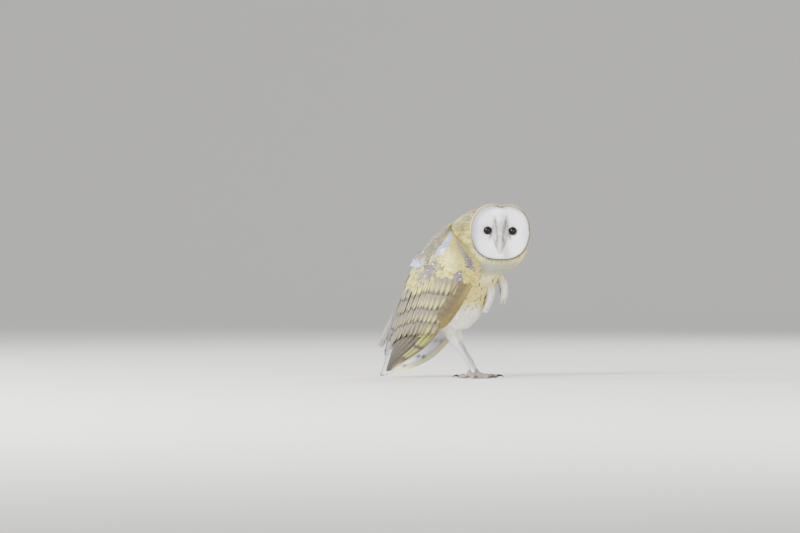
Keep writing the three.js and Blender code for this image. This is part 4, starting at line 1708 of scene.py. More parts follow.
    def coverts(self, markings: Markings, seed: int, material: bpy.types.Material) -> bpy.types.Object:
        """The small feathers that cover the wing, in overlapping rows, smallest at the shoulder.

        Args:
            markings: the colours.
            seed: seed of the random numbers.
            material: the feathers' finish.

        Returns:
            The object.
        """
        rng = np.random.default_rng(seed)
        last = markings.chevron(np.array(0.3)) - 0.06
        roots, tips, halves = [], [], []
        u, rank = -0.03, 0
        while u < last:
            size = 9.0 + 13.0 * ease(0.1, 0.4, u)
            gap = 0.42 * size / self.SPREAD
            v = np.arange((rank % 2) * gap / 2, 0.985, gap)
            v = v + 0.14 * gap * rng.standard_normal(len(v))
            rise = markings.chevron(v) - markings.chevron(np.array(0.3))
            bend = rise * ease(0.12, 0.36, u)
            long = size * (1 + 5.5 * np.maximum(rise, 0) * bump(u - 0.25, 0.11))
            end = np.stack([u + bend, v - 0.03 * ease(0.2, 0.4, u)], -1)
            end[:, 0] += 0.2 * size / self.LENGTH * rng.standard_normal(len(v)) * 0.35
            tips.append(end)
            roots.append(np.stack([end[:, 0] - long / self.LENGTH, v], -1))
            halves.append(0.30 * (size + long) / 2)
            u += 0.34 * size / self.LENGTH
            rank += 1
        root, tip, half = (np.concatenate(x) for x in (roots, tips, halves))
        n = len(root)
        top = 1.9 + 0.5 * rng.random(n)
        path, out, uv = self.lines(root, tip, np.full(n, -1.2), top, 5)
        colour, mottle = markings.wing(uv[:, -1, 0], uv[:, -1, 1], path[:, -1])
        colour = colour * (0.9 + 0.2 * rng.random((n, 1)))
        marks = np.zeros((n, 4))
        marks[:, 2] = 0.25 + 0.75 * mottle
        chance = rng.random(n)
        marks[:, 1] = (chance < 0.4) * ease(0.4, 0.7, mottle)
        marks[:, 0] = np.where(chance < 0.3, 0.8, 0.0) * ease(0.1, 0.5, mottle)
        cells, cell = self.bake_grid(n, 0, n)

        def tint(along: Array, across: Array) -> Array:
            """Colour over a feather: darker towards the root as painted shade under the row above, paler
            along the edges.
            """
            c = plain(colour[:, None, None], along.shape)
            # Painted shade: the root darkened where the row above lies over it.
            c = mixed(c, c * 0.45, ease(0.9, 0.35, along))
            return mixed(c, linear("#d9d2b0"), 0.3 * ease(0.55, 1.0, np.abs(across)) * ease(0.3, 0.6, along))

        vanes = Vanes(path, out, half * (0.9 + 0.2 * rng.random(n)), tint, marks, cells)
        mesh = vanes.mesh(6, 8, seed + 1, rounding=0.36, ragged=0.14, camber=0.16, narrow_root=0.6,
                          patch=cell, root_shade=0.0)
        LOG.info("%s: %d feathers", self.named("coverts"), n)
        return mesh.object(self.named("covert_feathers"), self.pose, material)

    def great_coverts(self, markings: Markings, seed: int, material: bpy.types.Material) -> bpy.types.Object:
        """Four rows of larger coverts, in the same files, with dark points at their tips."""
        rng = np.random.default_rng(seed)
        parts = []
        count = 11
        total = count * len(self.ROWS)
        t = np.linspace(0, 1, count)
        for row, (beyond, lift, dark) in enumerate(self.ROWS):
            v = 0.25 + 0.70 * t**0.9
            slant = -0.45 - 0.4 * bump(v - 0.6, 0.18)
            end_v = v + slant * beyond
            tip = np.stack([markings.chevron(v) + beyond * (1 + 0.15 * v), end_v], -1)
            tip = tip + 0.003 * rng.standard_normal(tip.shape)
            root = np.stack([tip[:, 0] - 0.135, np.minimum(end_v - 0.135 * slant, 0.95)], -1)
            path, out, uv = self.lines(root, tip, np.full(count, lift - 1.5), np.full(count, lift), 8)
            cells, cell = self.bake_grid(count, row * count, total)
            marks = np.zeros((count, 4))
            marks[:, 2] = 0.25
            half = 0.5 * self.SPREAD * np.gradient(v) * 1.36
            tint = self._covert_tint(uv, path, markings, dark)
            vanes = Vanes(path, out, half, tint, marks, cells)
            mesh = vanes.mesh(16, 12, seed + row, rounding=0.2, ragged=0.035, camber=0.06, narrow_root=0.8,
                              patch=cell, thick=0.2, root_shade=0.0, tilt=0.08 * -self.side.value)
            under = np.arange(len(mesh.points)) >= len(mesh.points) // 2
            mesh.tint = mixed(mesh.tint, Paint.UNDER, 0.9 * under)
            parts.append(mesh)
        return MeshData.joined(parts).object(self.named("great_coverts"), self.pose, material)

    @staticmethod
    def _covert_tint(
        uv: Array, path: Array, markings: Markings, dark: float
    ) -> Callable[[Array, Array], Array]:
        """Colours of a row of great coverts: pale vanes, a dark shaft line, a dark point at its end and a
        painted shadow from the row above.
        """
        base = markings.flight(uv[:, -2, 0], uv[:, -2, 1])
        own, _ = markings.wing(uv[:, -2, 0], uv[:, -2, 1], path[:, -2])
        base = mixed(base, own, ease(0.56, 0.5, uv[:, -2, 0]) * ease(0.5, 0.75, uv[:, -2, 1]))

        def tint(along: Array, across: Array) -> Array:
            """Colour over a feather."""
            c = plain(base[:, None, None], along.shape)
            # Painted shadow of the row above: mauve-grey just past where that row's tips end.
            c = mixed(c, linear("#6b6459"), 0.75 * ease(0.68, 0.45, along))
            stripe = 0.5 * bump(np.abs(across) - 0.6, 0.28) * ease(0.45, 0.65, along)
            c = mixed(c, linear("#b9b26f"), stripe * dark)
            line = bump(across, 0.14) * ease(0.4, 0.55, along)
            point = bump(across, 0.14 + 0.62 * ease(0.73, 0.96, along)) * ease(0.72, 0.85, along)
            return mixed(c, Paint.INK, np.maximum(0.6 * line, 0.97 * point) * dark)

        return tint

    def flights(
        self, which: str, markings: Markings, seed: int, material: bpy.types.Material
    ) -> bpy.types.Object:
        """The primaries or the secondaries.

        Args:
            which: the name of the row.
            markings: the colours.
            seed: seed of the random numbers.
            material: the feathers' finish.

        Returns:
            The object.
        """
        row: FlightRow = getattr(self, which)
        rng = np.random.default_rng(seed)
        t = np.linspace(0, 1, row.count)
        root = row.roots[0] * (1 - t[:, None]) + row.roots[1] * t[:, None]
        tip = row_at(row.tips, t)
        tip[:, 0] += 0.004 * rng.standard_normal(row.count)
        lift = row.lift[0] * (1 - t) + row.lift[1] * t
        path, out, uv = self.lines(root, tip, lift - 0.6, lift, 22)
        half = row.half[0] * (1 - t) + row.half[1] * t
        cells, cell = self.bake_grid(row.count, 0, row.count)
        marks = np.zeros((row.count, 4))
        marks[:, 2] = 0.35
        vanes = Vanes(path, out, half, self._flight_tint(uv, half, markings, which), marks, cells)
        mesh = vanes.mesh(
            44, 12, seed, rounding=0.14, ragged=0.008, camber=0.06, narrow_root=0.75, point=0.35,
            shaft=row.shaft, thick=row.thick, patch=cell, root_shade=0.0, tilt=0.05 * -self.side.value,
        )
        mesh.tint = self._underside(mesh, row.count)
        return mesh.object(self.named(f"{which}_feathers"), self.pose, material)

    def _flight_tint(
        self, uv: Array, half: Array, markings: Markings, which: str
    ) -> Callable[[Array, Array], Array]:
        """Colours of a row of flight feathers: the wing's own, with a paler and a darker edge to each."""
        steps = np.linspace(0, 1, uv.shape[1])

        def tint(along: Array, across: Array) -> Array:
            """Colour over a feather."""
            line = [[np.interp(a, steps, q) for q in p] for a, p in zip(along, np.moveaxis(uv, 2, 1))]
            place = np.array(line)
            u = place[:, 0]
            width = np.interp(u, (0.1, 0.4, 0.6, 0.7, 0.8, 0.9, 1.0), (90, 137, 124, 107, 81, 45, 20))
            v = place[:, 1] + across * half[:, None, None] / width * self.side.value
            c = markings.flight(u, v)
            near = across * self.side.value
            if which == "primaries":
                rim = ease(0.045, 0.02, v) * ease(0.99, 0.9, u)
                c = mixed(c, linear("#c9c49a"), rim)
                c = mixed(c, linear("#b4b3b4"), 0.8 * ease(0.74, 0.82, v))
            else:
                c = mixed(c, linear("#8e8762"), 0.5 * ease(0.2, 0.8, near) * ease(0.98, 0.9, along))
                wave = (u - 0.585) / 0.075
                bar = bump((wave - np.round(wave)) * 0.075, 0.012) * bump(across, 0.5)
                c = mixed(c, linear("#3d352e"), 0.5 * bar * ease(0.2, 0.5, v))
                c = mixed(c, linear("#cfced0"), 0.85 * ease(0.82, 0.9, v))
            c = mixed(c, Paint.EDGE, 0.65 * ease(0.86, 1.0, -near) + 0.55 * bump(across, 0.05))
            return mixed(c, Paint.EDGE, 0.6 * ease(0.985, 1.0, along))

        return tint

    def _underside(self, mesh: MeshData, count: int) -> Array:
        """Colours with the under faces turned white, barred grey, and creamy on the outermost feather.

        Args:
            mesh: the row's mesh, its upper faces first.
            count: feathers in the row.

        Returns:
            The colours of all its corners.
        """
        half = len(mesh.points) // 2
        tint = mesh.tint.copy()
        along, lead = mesh.vane[half:, 1], (1 - 2 * mesh.vane[half:, 0]) * self.side.value
        number = np.repeat(np.arange(count), half // count)
        wave = along * 4.4 - 0.35
        bar = bump(wave - np.round(wave), 0.10) * ease(0.2, 0.4, along) * ease(0.85, 0.5, lead)
        under = mixed(plain(Paint.UNDER, (half,)), linear("#35303a"), 0.95 * bar)
        edge = (number == 0) * ease(0.25, 0.4, lead)
        under = mixed(under, linear("#d9d4a4"), edge)
        tint[half:] = mixed(under, linear("#45423e"), 0.7 * (number == 0) * bump(lead - 0.25, 0.09))
        return tint

    def alula(self, seed: int, material: bpy.types.Material) -> bpy.types.Object:
        """The thumb's feathers and the primary coverts, ochre with a dusky lower edge."""
        count = 11
        t = np.linspace(0, 1, count)
        root = np.stack([0.31 + 0.03 * t, 0.02 + 0.17 * t], -1)
        tip = np.stack([0.615 - 0.075 * t, 0.035 + 0.20 * t], -1)
        path, out, uv = self.lines(root, tip, 0.6 + 0.8 * t, 1.2 + 1.6 * t, 10)
        cells, cell = self.bake_grid(count, 0, count)

        def tint(along: Array, across: Array) -> Array:
            """Colour over a feather."""
            u = uv[:, 0, 0][:, None, None] * (1 - along) + uv[:, -1, 0][:, None, None] * along
            v = uv[:, 0, 1][:, None, None] * (1 - along) + uv[:, -1, 1][:, None, None] * along
            c = mixed(plain(Paint.OCHRE, along.shape), linear("#8d7d3a"), ease(0.6, 0.2, along))
            c = mixed(c, linear("#5e543c"), 0.9 * ease(0.115, 0.185, v - 0.35 * (u - 0.5) + 0.02 * across))
            wave = u / 0.035
            c = mixed(c, linear("#332b22"), 0.4 * bump(wave - np.round(wave), 0.2) * ease(0.12, 0.18, v))
            return mixed(c, linear("#5a4425"), 0.5 * ease(0.8, 1.0, np.abs(across)))

        marks = np.zeros((count, 4))
        marks[:, 2] = 0.35
        vanes = Vanes(path, out, np.full(count, 4.6), tint, marks, cells)
        mesh = vanes.mesh(24, 8, seed, rounding=0.2, ragged=0.02, camber=0.08, narrow_root=0.7, thick=0.4,
                          patch=cell, root_shade=0.0)
        mesh.tint = self._underside(mesh, count)
        return mesh.object(self.named("alula_feathers"), self.pose, material)

    def scapulars(self, markings: Markings, seed: int, material: bpy.types.Material) -> bpy.types.Object:
        """The shoulder feathers that lie over the wing's dorsal edge."""
        rng = np.random.default_rng(seed)
        roots, tips, halves = [], [], []
        for rank, u in enumerate(np.arange(0.01, 0.30, 0.019)):
            size = 15 + 17 * ease(0.0, 0.3, u)
            low = 0.64 + 0.72 * (u + size / self.LENGTH)
            gap = 0.05
            v = np.arange(min(low, 0.9) + (rank % 2) * gap / 2, 1.04, gap)
            v = v + 0.008 * rng.standard_normal(len(v))
            start = np.stack([u + 0.006 * rng.standard_normal(len(v)), v - 0.03], -1)
            roots.append(start)
            tips.append(start + np.stack([np.full(len(v), size / self.LENGTH), np.full(len(v), 0.03)], -1))
            halves.append(np.full(len(v), 0.21 * size))
        root, tip, half = (np.concatenate(x) for x in (roots, tips, halves))
        tip[:, 0] = np.minimum(tip[:, 0], 0.405)
        n = len(root)
        path, out, uv = self.lines(root, tip, np.full(n, 0.5), 3.0 + 0.7 * rng.random(n), 6)
        colour, mottle = markings.scapular(uv[:, -1, 0], uv[:, -1, 1], path[:, -1])
        marks = np.zeros((n, 4))
        marks[:, 2] = mottle
        marks[:, 0] = (rng.random(n) < 0.16) * 0.8
        marks[:, 1] = marks[:, 0]
        cells, cell = self.bake_grid(n, 0, n)
        base = colour * (0.85 + 0.3 * rng.random((n, 1)))

        def tint(along: Array, across: Array) -> Array:
            """Colour over a feather."""
            c = plain(base[:, None, None], along.shape)
            return mixed(c, linear("#57513f"), 0.3 * ease(0.6, 1.0, across * -self.side.value))

        vanes = Vanes(path, out, half, tint, marks, cells)
        mesh = vanes.mesh(7, 6, seed + 1, rounding=0.3, ragged=0.12, camber=0.14, narrow_root=0.6, patch=cell)
        return mesh.object(self.named("scapular_feathers"), self.pose, material)


@dataclass
class Tail:
    """Twelve tail feathers, white beneath and barred buff above."""

    pose: Pose
    base: tuple[float, float] = (-100.0, 154.0)
    tip: tuple[float, float] = (-155.0, 49.0)
    pairs: int = 6
    half_width: float = 27.0
    slant: float = 0.45
    curl: float = 0.004

    def build(self, seed: int, material: bpy.types.Material) -> bpy.types.Object:
        """Makes the tail."""
        share = np.linspace(-1, 1, 2 * self.pairs)
        n = len(share)
        rng = np.random.default_rng(seed)
        s = np.linspace(0, 1, 16)
        aside = share[:, None] * (self.half_width - 9.5) * (0.45 + 0.55 * s)[None]
        length = math.hypot(self.tip[0] - self.base[0], self.tip[1] - self.base[1])
        reach = (1 - 0.045 * np.abs(share) + 0.01 * rng.standard_normal(n))[:, None]
        along = s[None] * reach * (1 + self.slant * aside / length)
        x = self.base[0] + (self.tip[0] - self.base[0]) * along + self.curl * aside**2
        z = self.base[1] + (self.tip[1] - self.base[1]) * along + 0.4 * self.curl * aside**2
        path = np.stack([x, aside, z], -1)
        slope = unit(np.array([self.tip[1] - self.base[1], 0.0, self.base[0] - self.tip[0]]))
        out = unit(slope + np.stack([np.zeros_like(aside), 2 * self.curl * aside, np.zeros_like(aside)], -1))
        path = path + out * (1.1 - 1.7 * np.abs(share))[:, None, None]
        side = np.where(share < 0, -1.0, 1.0)

        def tint(run: Array, across: Array) -> Array:
            """Colour over a feather."""
            outer = np.abs(share)[:, None, None]
            edge = across * side[:, None, None]
            c = mixed(plain(linear("#b3a45e"), run.shape), Paint.WHITE, ease(0.15, 0.7, outer))
            c = mixed(c, linear("#c2c8ee"), ease(0.6, 1.0, outer) * ease(0.45, 0.7, run) * 0.8)
            wave = run * 5.0 + 0.4
            bar = bump(wave - np.round(wave), 0.12) * ease(0.25, 0.4, run)
            c = mixed(c, linear("#4f483c"), 0.7 * bar * ease(0.95, 0.4, outer))
            c = mixed(c, Paint.WHITE, 0.8 * ease(0.55, 0.85, edge))
            return mixed(c, linear("#4f5058"), 0.75 * bump(edge - 0.98, 0.09) + 0.4 * bump(across, 0.05))

        cell = 0.9 / 4
        k = np.arange(n)
        cells = np.stack([(k % 4 + 0.5) / 4, (k // 4 + 0.5) / 4], -1)
        marks = np.zeros((n, 4))
        marks[:, 2] = 0.08
        vanes = Vanes(path, out, np.full(n, 8.5), tint, marks, cells)
        mesh = vanes.mesh(30, 12, seed, rounding=0.2, ragged=0.02, camber=0.1, narrow_root=0.7, thick=0.5,
                          patch=cell, root_shade=0.0)
        half = len(mesh.points) // 2
        mesh.tint = mesh.tint.copy()
        mesh.tint[half:] = mixed(mesh.tint[half:], Paint.WHITE, np.full(half, 0.8))
        return mesh.object("tail_feathers", self.pose, material)


@dataclass
class BreastTufts:
    """The two loose tufts of long breast feathers that hang clear of the body."""

    pose: Pose
    skin: Skin
    rows: Array = field(
        default_factory=lambda: np.array(
            [[[26, -8, 174, 9], [37, -12, 148, 9.5], [36, -13, 126, 8], [27, -12, 103, 6]],
             [[32, 7, 182, 9], [48, 13, 158, 9], [52, 14, 140, 8], [49, 13, 117, 6.5]]], float)
    )
    count: int = 420

    def build(self, seed: int, material: bpy.types.Material) -> bpy.types.Object:
        """Makes the tufts."""
        rng = np.random.default_rng(seed)
        parts = []
        for number, rows in enumerate(self.rows):
            lobe = rng.integers(0, 6, self.count)
            a = lobe * math.pi / 3 + 0.25 * rng.standard_normal(self.count)
            reach = np.array([1.0, 0.86, 0.95, 0.8, 0.98, 0.88])[lobe]
            start = rng.random(self.count) * 0.62
            start[:20] = 0.66 + 0.1 * rng.random(20)
            stop = np.minimum(start + 0.36 + 0.1 * rng.random(self.count), 1.0)
            t = start[:, None] + (stop - start)[:, None] * np.linspace(0, 1, 6)[None]
            line = row_at(rows, t * reach[:, None])
            away = np.stack([np.cos(a), np.sin(a) * 0.75, np.zeros(self.count)], -1)
            radius = line[..., 3] * (0.5 + 0.5 * np.linspace(0, 1, 6) ** 0.6)[None]
            spread = radius * (0.35 + 0.6 * rng.random((self.count, 1)))
            path = line[..., :3] + away[:, None] * spread[..., None]
            out = np.broadcast_to(away[:, None], path.shape)
            shade = mixed(plain(Paint.BELLY, (self.count,)), Paint.CREAM, 0.8 * (start < 0.15))
            shade = mixed(shade, linear("#a9aaa6"), 0.7 * rng.random(self.count) ** 3)
            _, _, index = self.skin.snap(path[:, 0])
            half = np.full(self.count, 2.1) * (0.8 + 0.4 * rng.random(self.count))
            marks = np.zeros((self.count, 4))
            marks[:, 0] = (rng.random(self.count) < 0.12) * (start < 0.4)
            vanes = Vanes(path, out, half, shade, marks, self.skin.maps[index])
            parts.append(
                vanes.mesh(6, 4, seed + number, rounding=0.35, ragged=0.12, camber=0.2, point=0.45,
                           root_shade=0.0)
            )
        return MeshData.joined(parts).object("breast_tufts", self.pose, material)


# ---- head pieces ----
@dataclass
class Eye:
    """An eyeball with the rim of its lids."""

    pose: Pose
    side: Side
    rings: int = 28
    segments: int = 40
    pupil: float = 0.62
    lid_radius: float = 6.3
    lid_thick: float = 0.55

    @property
    def centre(self) -> Array:
        """The eyeball's middle, in the head's frame."""
        return np.array([self.pose.eye_ahead, self.side.value * self.pose.eye_aside, self.pose.eye_up])

    def ball(self, material: bpy.types.Material) -> bpy.types.Object:
        """Makes the eyeball, its front slightly raised over the iris."""
        a = np.linspace(0, math.pi, self.rings)
        b = np.linspace(0, 2 * math.pi, self.segments, endpoint=False)
        polar, turn = np.meshgrid(a, b, indexing="ij")
        cornea = 0.35 * bump(polar, 0.5)
        r = self.pose.eye_radius + cornea - 0.25
        aside = r * np.sin(polar)
        h = np.stack([r * np.cos(polar), aside * np.cos(turn), aside * np.sin(turn)], -1)
        i, j = np.meshgrid(np.arange(self.rings - 1), np.arange(self.segments), indexing="ij")
        j2 = (j + 1) % self.segments
        k, k2 = i * self.segments, (i + 1) * self.segments
        faces = np.stack([k + j, k2 + j, k2 + j2, k + j2], -1)
        ring = ease(self.pupil - 0.05, self.pupil + 0.05, polar)[..., None] * np.ones(3)
        uv = np.stack([turn / (2 * math.pi), polar / math.pi], -1)
        mesh = MeshData(
            self.pose.from_head(self.centre + h.reshape(-1, 3)),
            faces.reshape(-1, 4),
            ring.reshape(-1, 3),
            bake=uv.reshape(-1, 2),
        )
        return mesh.object(f"eyeball_{self.side.word}", self.pose, material)

    def lids(self, material: bpy.types.Material) -> bpy.types.Object:
        """Makes the rim of the lids: a soft ring that comes to a point at the inner corner."""
        a = np.linspace(0, 2 * math.pi, 64)
        corner = math.pi if self.side is Side.LEFT else 0.0
        inner = bump(np.angle(np.exp(1j * (a - corner))) + 0.35 * self.side.value, 0.4)
        r = self.lid_radius * (1 + 0.16 * inner)
        y, z = r * np.cos(a), r * 0.96 * np.sin(a)
        x = np.sqrt(np.maximum(self.pose.eye_radius**2 - self.lid_radius**2, 1.0)) + 0.1 - 0.9 * inner
        thick = np.full(64, self.lid_thick) * (1 - 0.3 * inner)
        ring = tube(self.centre + np.stack([x, y, z], -1), thick, 10, up=(1, 0, 0))
        ring.points = self.pose.from_head(ring.points)
        return ring.object(f"eyelids_{self.side.word}", self.pose, material)


@dataclass
class Bill:
    """The hooked bill: the upper half over the lower."""

    pose: Pose
    upper: Array = field(
        default_factory=lambda: np.array(
            [[16.5, 0, 2, 4.2], [21, 0, -4, 4.6], [27, 0, -9.5, 4.2], [29.8, 0, -15.5, 3.0],
             [30.2, 0, -20, 1.5], [29, 0, -23, 0.35]]
        )
    )
    lower: Array = field(
        default_factory=lambda: np.array([[18, 0, -13, 3.2], [24, 0, -15.5, 2.7], [27.2, 0, -18.6, 1.0]])
    )

    def build(self, word: str, material: bpy.types.Material) -> bpy.types.Object:
        """Makes one half of the bill.

        Args:
            word: "upper" or "lower".
            material: its finish.

        Returns:
            The object.
        """
        rows = row_at(getattr(self, word), np.linspace(0, 1, 26))
        shape = tube(rows[:, :3], rows[:, 3], 20, 1.15, up=(0, 1, 0))
        h = shape.points
        keel = bump(h[:, 1], 1.2) * 0.35
        h = h + np.array([1.0, 0, 0.2]) * (keel * (h[:, 0] > np.repeat(rows[:, 0], 20)))[:, None]
        # Painted shade: the bill's sides darkened, which leaves its middle pale like a highlight.
        sides = 0.8 * ease(1.2, 3.2, np.abs(h[:, 1]))
        shade = mixed(np.ones((len(h), 3)), np.array([0.62, 0.58, 0.6]), sides)
        piece = MeshData(self.pose.from_head(h), shape.faces, shade, bake=shape.bake)
        return piece.object(f"bill_{word}", self.pose, material)


# ---- feet ----
@dataclass
class Foot:
    """A bare-toed foot with its four claws."""

    pose: Pose
    side: Side
    centre: tuple[float, float, float] = (6.0, -20.0, 6.8)
    toes: tuple[tuple[str, float, float, float], ...] = (
        ("inner", 27.0, 29.0, 3.7),
        ("middle", -4.0, 31.0, 3.7),
        ("outer", -55.0, 25.0, 3.5),
        ("hind", 172.0, 18.0, 3.5),
    )
    sunk: float = 0.6
    claw_length: float = 15.0
    claw_radius: float = 2.0
    voxel: float = 0.62

    def _line(
        self, angle: float, rows: Sequence[tuple[float, float, float]], count: int
    ) -> tuple[Array, Array]:
        """A toe's or claw's middle line.

        Args:
            angle: its direction, in degrees from ahead towards the bird's middle.
            rows: distance along, height and radius.
            count: points on the line.

        Returns:
            The line in the bird's frame, and its radii.
        """
        a = math.radians(angle)
        r = row_at(np.array(rows, float), np.linspace(0, 1, count))
        x = self.centre[0] + math.cos(a) * r[:, 0]
        y = self.centre[1] + math.sin(a) * r[:, 0]
        return np.stack([x, -self.side.value * y, r[:, 1]], -1), r[:, 2]

    def foot(self, material: bpy.types.Material) -> bpy.types.Object:
        """Makes the toes and the pad as one scaly skin."""
        parts = []
        for _, angle, length, radius in self.toes:
            rows = [
                (1.5, 7.0, radius * 1.05),
                (4.5, 5.2, radius),
                (length * 0.3, radius - self.sunk + 0.9, radius * 0.95),
                (length * 0.55, radius - self.sunk, radius * 1.04),
                (length * 0.8, radius * 0.86 - self.sunk + 0.4, radius * 0.82),
                (length, radius * 0.8 - self.sunk, radius * 0.86),
                (length + 1.2, radius * 0.8 - self.sunk, radius * 0.3),
            ]
            line, r = self._line(angle, rows, 60)
            s = np.linspace(0, 1, 60)
            scutes = 1 + 0.03 * np.cos(s * length / 2.1 * 2 * math.pi)
            parts.append(tube(line, r * scutes, 18))
        ankle = np.array([[5.2, -20, 4.5, 5.4], [5.3, -20, 8, 4.4], [5, -20, 11.5, 3.0], [4.6, -20, 15, 1.6]])
        rows = row_at(ankle, np.linspace(0, 1, 12))
        line = rows[:, :3] * np.array([1, -self.side.value, 1])
        parts.append(tube(line, rows[:, 3], 18, up=(1, 0, 0)))
        points, faces = self._fused(MeshData.joined(parts))
        points = Skin._smoothed(points, faces, 2)
        points[:, 2] = np.maximum(points[:, 2], 0.0)
        name = f"foot_{self.side.word}"
        flat = np.stack([points[:, 0] / 120 + 0.5, points[:, 1] / 120 + 0.5], -1)
        return MeshData(points, faces, np.ones_like(points), bake=flat).object(name, self.pose, material)

    def _fused(self, mesh: MeshData) -> tuple[Array, Array]:
        """Overlapping tubes as one surface."""
        solid = mesh.object("toes", self.pose, ScaleFinish().build())
        remesh = solid.modifiers.new("fuse", "REMESH")
        remesh.mode = "VOXEL"
        remesh.voxel_size = self.voxel * MM
        done = solid.evaluated_get(bpy.context.evaluated_depsgraph_get()).to_mesh()
        points = np.zeros(len(done.vertices) * 3)
        done.vertices.foreach_get("co", points)
        corners = np.zeros(len(done.loops), np.int32)
        done.loops.foreach_get("vertex_index", corners)
        bpy.data.objects.remove(solid)
        return Skin._largest(self.pose.from_part(points.reshape(-1, 3)), corners.reshape(-1, 4))

    def claws(self, material: bpy.types.Material) -> list[bpy.types.Object]:
        """Makes the four claws."""
        made = []
        for name, angle, length, radius in self.toes:
            rows = [
                (length - 2.0, radius * 0.8 - self.sunk + 0.2, self.claw_radius * 1.05),
                (length + 1.5, 3.3, self.claw_radius),
                (length + 0.32 * self.claw_length, 4.2, self.claw_radius * 0.82),
                (length + 0.62 * self.claw_length, 3.7, self.claw_radius * 0.56),
                (length + 0.8 * self.claw_length, 2.2, self.claw_radius * 0.3),
                (length + 0.89 * self.claw_length, 0.5, 0.12),
            ]
            line, r = self._line(angle, rows, 30)
            shape = tube(line, r, 16, 1.15)
            shape.points[:, 2] = np.maximum(shape.points[:, 2], 0.02)
            made.append(shape.object(f"claw_{self.side.word}_{name}", self.pose, material))
        return made


# ---- studio ----
@dataclass
class Studio:
    """The floor, the lights and the camera."""

    azimuth: float = 18.0
    distance: float = 6.0
    frame_width: float = 1.28
    aim_aside: float = -0.112
    aim_up: float = 0.1784
    flat: float = 5.0
    bend: float = 6.0
    wall: float = 9.0
    bend_steps: int = 24
    round_steps: int = 96
    sensor: float = 36.0
    view_end: float = 200.0
    sky: tuple[float, float, float, float] = (0.93, 0.95, 1.0, 1.0)
    sky_strength: float = 0.85
    lit_height: float = 0.15
    lamps: tuple[tuple[str, tuple[float, float, float], float, float], ...] = (
        ("key", (-1.1, -2.6, 1.7), 1.1, 215.0),
        ("fill", (2.2, -1.8, 0.9), 1.4, 65.0),
        ("side", (-2.6, -0.6, 0.7), 1.2, 125.0),
        ("rim", (0.6, 2.4, 2.2), 1.4, 80.0),
    )

    def build(self, pose: Pose) -> None:
        """Sets up the studio.

        Args:
            pose: where the bird is.
        """
        self._floor()
        self._lights()
        self._camera(pose)

    def _floor(self) -> None:
        """A large pale floor that turns up into a round wall, and a world of the same paleness."""
        mesh = bpy.data.meshes.new("floor")
        shape = bmesh.new()
        turns = np.linspace(0, math.pi / 2, self.bend_steps)
        bend = [(self.flat + self.bend * math.sin(a), self.bend * (1 - math.cos(a))) for a in turns]
        outline = [(0.001, 0.0), (self.flat * 0.5, 0.0), *bend, (self.flat + self.bend, self.wall)]
        corners = [shape.verts.new((r, 0.0, z)) for r, z in outline]
        edges = [shape.edges.new(pair) for pair in zip(corners, corners[1:])]
        bmesh.ops.spin(
            shape, geom=corners + edges, cent=(0, 0, 0), axis=(0, 0, 1), angle=2 * math.pi,
            steps=self.round_steps,
        )
        bmesh.ops.remove_doubles(shape, verts=shape.verts, dist=1e-5)
        bmesh.ops.recalc_face_normals(shape, faces=shape.faces)
        shape.to_mesh(mesh)
        shape.free()
        mesh.shade_smooth()
        floor = bpy.data.objects.new("floor", mesh)
        bpy.context.scene.collection.objects.link(floor)
        mesh.materials.append(FloorFinish().build())
        world = bpy.data.worlds.new("studio")
        world.use_nodes = True
        back = world.node_tree.nodes["Background"]
        back.inputs["Color"].default_value = self.sky
        back.inputs["Strength"].default_value = self.sky_strength
        bpy.context.scene.world = world

    def _lights(self) -> None:
        """Soft lamps: a key by the camera, a fill at its right, one at the tail and one behind."""
        for name, place, size, power in self.lamps:
            lamp = bpy.data.lights.new(name, "AREA")
            lamp.size = size
            lamp.energy = power
            thing = bpy.data.objects.new(name, lamp)
            thing.location = place
            aim = Vector((0.0, 0.0, self.lit_height)) - Vector(place)
            thing.rotation_euler = aim.to_track_quat("-Z", "Y").to_euler()
            bpy.context.scene.collection.objects.link(thing)

    def _camera(self, pose: Pose) -> None:
        """A level camera at the bird's right side."""
        a = math.radians(self.azimuth)
        right = Vector((math.cos(a), math.sin(a), 0))
        back = Vector((math.sin(a), -math.cos(a), 0))
        origin = Vector(pose.to_part(np.zeros(3)).tolist())
        camera = bpy.data.cameras.new("camera")
        camera.sensor_width = self.sensor
        camera.lens = camera.sensor_width * self.distance / self.frame_width
        camera.clip_end = self.view_end
        thing = bpy.data.objects.new("camera", camera)
        thing.location = origin + right * self.aim_aside + Vector((0, 0, self.aim_up)) + back * self.distance
        thing.rotation_mode = "QUATERNION"
        thing.rotation_quaternion = (-back).to_track_quat("-Z", "Y")
        bpy.context.scene.collection.objects.link(thing)
        bpy.context.scene.camera = thing


@dataclass(frozen=True)
class Seeds:
    """Where each part's random numbers start."""

    coat: int = 100
    coat_step: int = 10
    ruff: int = 300
    tufts: int = 310
    tail: int = 320
    wings: tuple[int, int] = (400, 500)


def settle(piece: bpy.types.Object, slot: str, *nodes: str) -> None:
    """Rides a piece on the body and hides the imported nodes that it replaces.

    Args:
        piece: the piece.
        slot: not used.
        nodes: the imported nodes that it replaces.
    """
    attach(piece, ROOT_BODY)
    if nodes:
        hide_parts(*nodes)
    LOG.info("%s: %d faces", piece.name, len(piece.data.polygons))


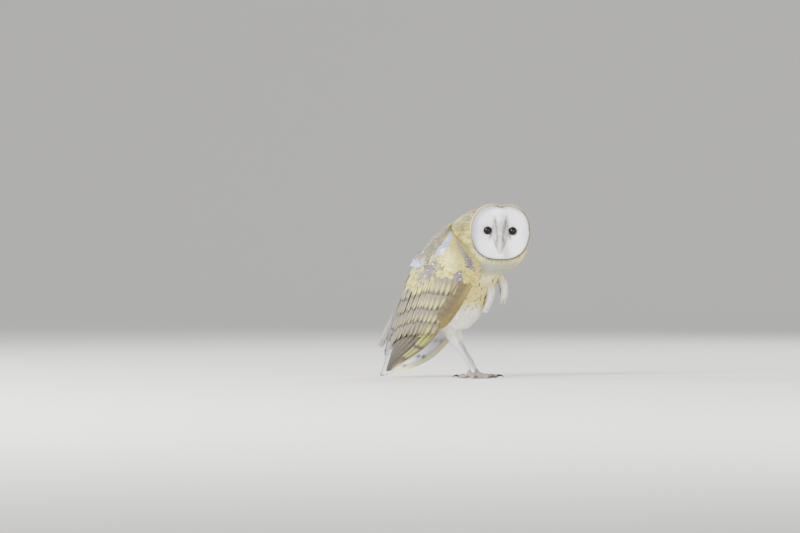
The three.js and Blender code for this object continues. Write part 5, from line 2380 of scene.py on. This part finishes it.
def dress_wing(wing: Wing, markings: Markings, plumage: bpy.types.Material, seed: int) -> None:
    """Makes all the feathers of one wing.

    Args:
        wing: the wing.
        markings: the colours.
        plumage: the feathers' finish.
        seed: seed of its random numbers.
    """
    word = f"wing_{wing.side.word}_"
    settle(wing.coverts(markings, seed, plumage), "golden_plumage")
    settle(wing.great_coverts(markings, seed + 10, plumage), "golden_plumage")
    settle(wing.scapulars(markings, seed + 20, plumage), "golden_plumage")
    settle(wing.flights("primaries", markings, seed + 30, plumage), "grey_plumage", word + "primaries")
    settle(wing.flights("secondaries", markings, seed + 40, plumage), "buff_plumage", word + "secondaries")
    settle(wing.alula(seed + 50, plumage), "golden_plumage", word + "alula")


def main() -> None:
    """Builds the bird and its studio."""
    logging.basicConfig(level=logging.INFO, format="%(name)s %(message)s")
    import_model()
    pose, seeds = Pose(), Seeds()
    Studio().build(pose)
    markings = Markings(pose)
    plumage = PlumageFinish().build()

    wings = [Wing(Side.RIGHT, pose), Wing(Side.LEFT, pose, shift=FAR_WING_SHIFT, sag=FAR_WING_SAG)]
    skin = Skin(pose, [part for wing in wings for part in wing.flesh()])
    settle(skin.piece(markings, SkinFinish().build()), "buff_plumage", *Skin.FLESH)
    coat = BodyCoat(pose, skin, markings, wings)
    for number, key in enumerate(BodyCoat.PIECES):
        settle(coat.build(key, seeds.coat + seeds.coat_step * number, plumage), BodyCoat.PIECES[key].slot)
    settle(Ruff(pose, skin).build(seeds.ruff, plumage), "ruff_plumage")
    tufts = BreastTufts(pose, skin).build(seeds.tufts, plumage)
    settle(tufts, "white_plumage", "breast_tuft_right", "breast_tuft_left")
    settle(Tail(pose).build(seeds.tail, plumage), "white_plumage", "tail")
    for wing, seed in zip(wings, seeds.wings):
        dress_wing(wing, markings, plumage, seed)

    eye_finish, lid_finish = EyeFinish().build(), HornFinish("eyelids", "#54433f", "#231b19", 0.5).build()
    bill_finish = HornFinish("bill_horn", "#d6cdc6", "#b5a8a2", 0.35).build()
    claw_finish = HornFinish("claw_horn", "#2e2623", "#120f0e", 0.28).build()
    scales = ScaleFinish().build()
    for side in Side:
        eye = Eye(pose, side)
        settle(eye.ball(eye_finish), "eye", f"eye_{side.word}")
        settle(eye.lids(lid_finish), "foot_skin")
        foot = Foot(pose, side)
        settle(foot.foot(scales), "foot_skin", f"leg_{side.word}_foot")
        for claw, (name, *_) in zip(foot.claws(claw_finish), foot.toes):
            settle(claw, "claw_horn", f"leg_{side.word}_claw_{name}")
    bill = Bill(pose)
    for word in ("upper", "lower"):
        settle(bill.build(word, bill_finish), "bill_horn", f"{word}_bill")

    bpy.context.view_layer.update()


if __name__ == "__main__":
    main()
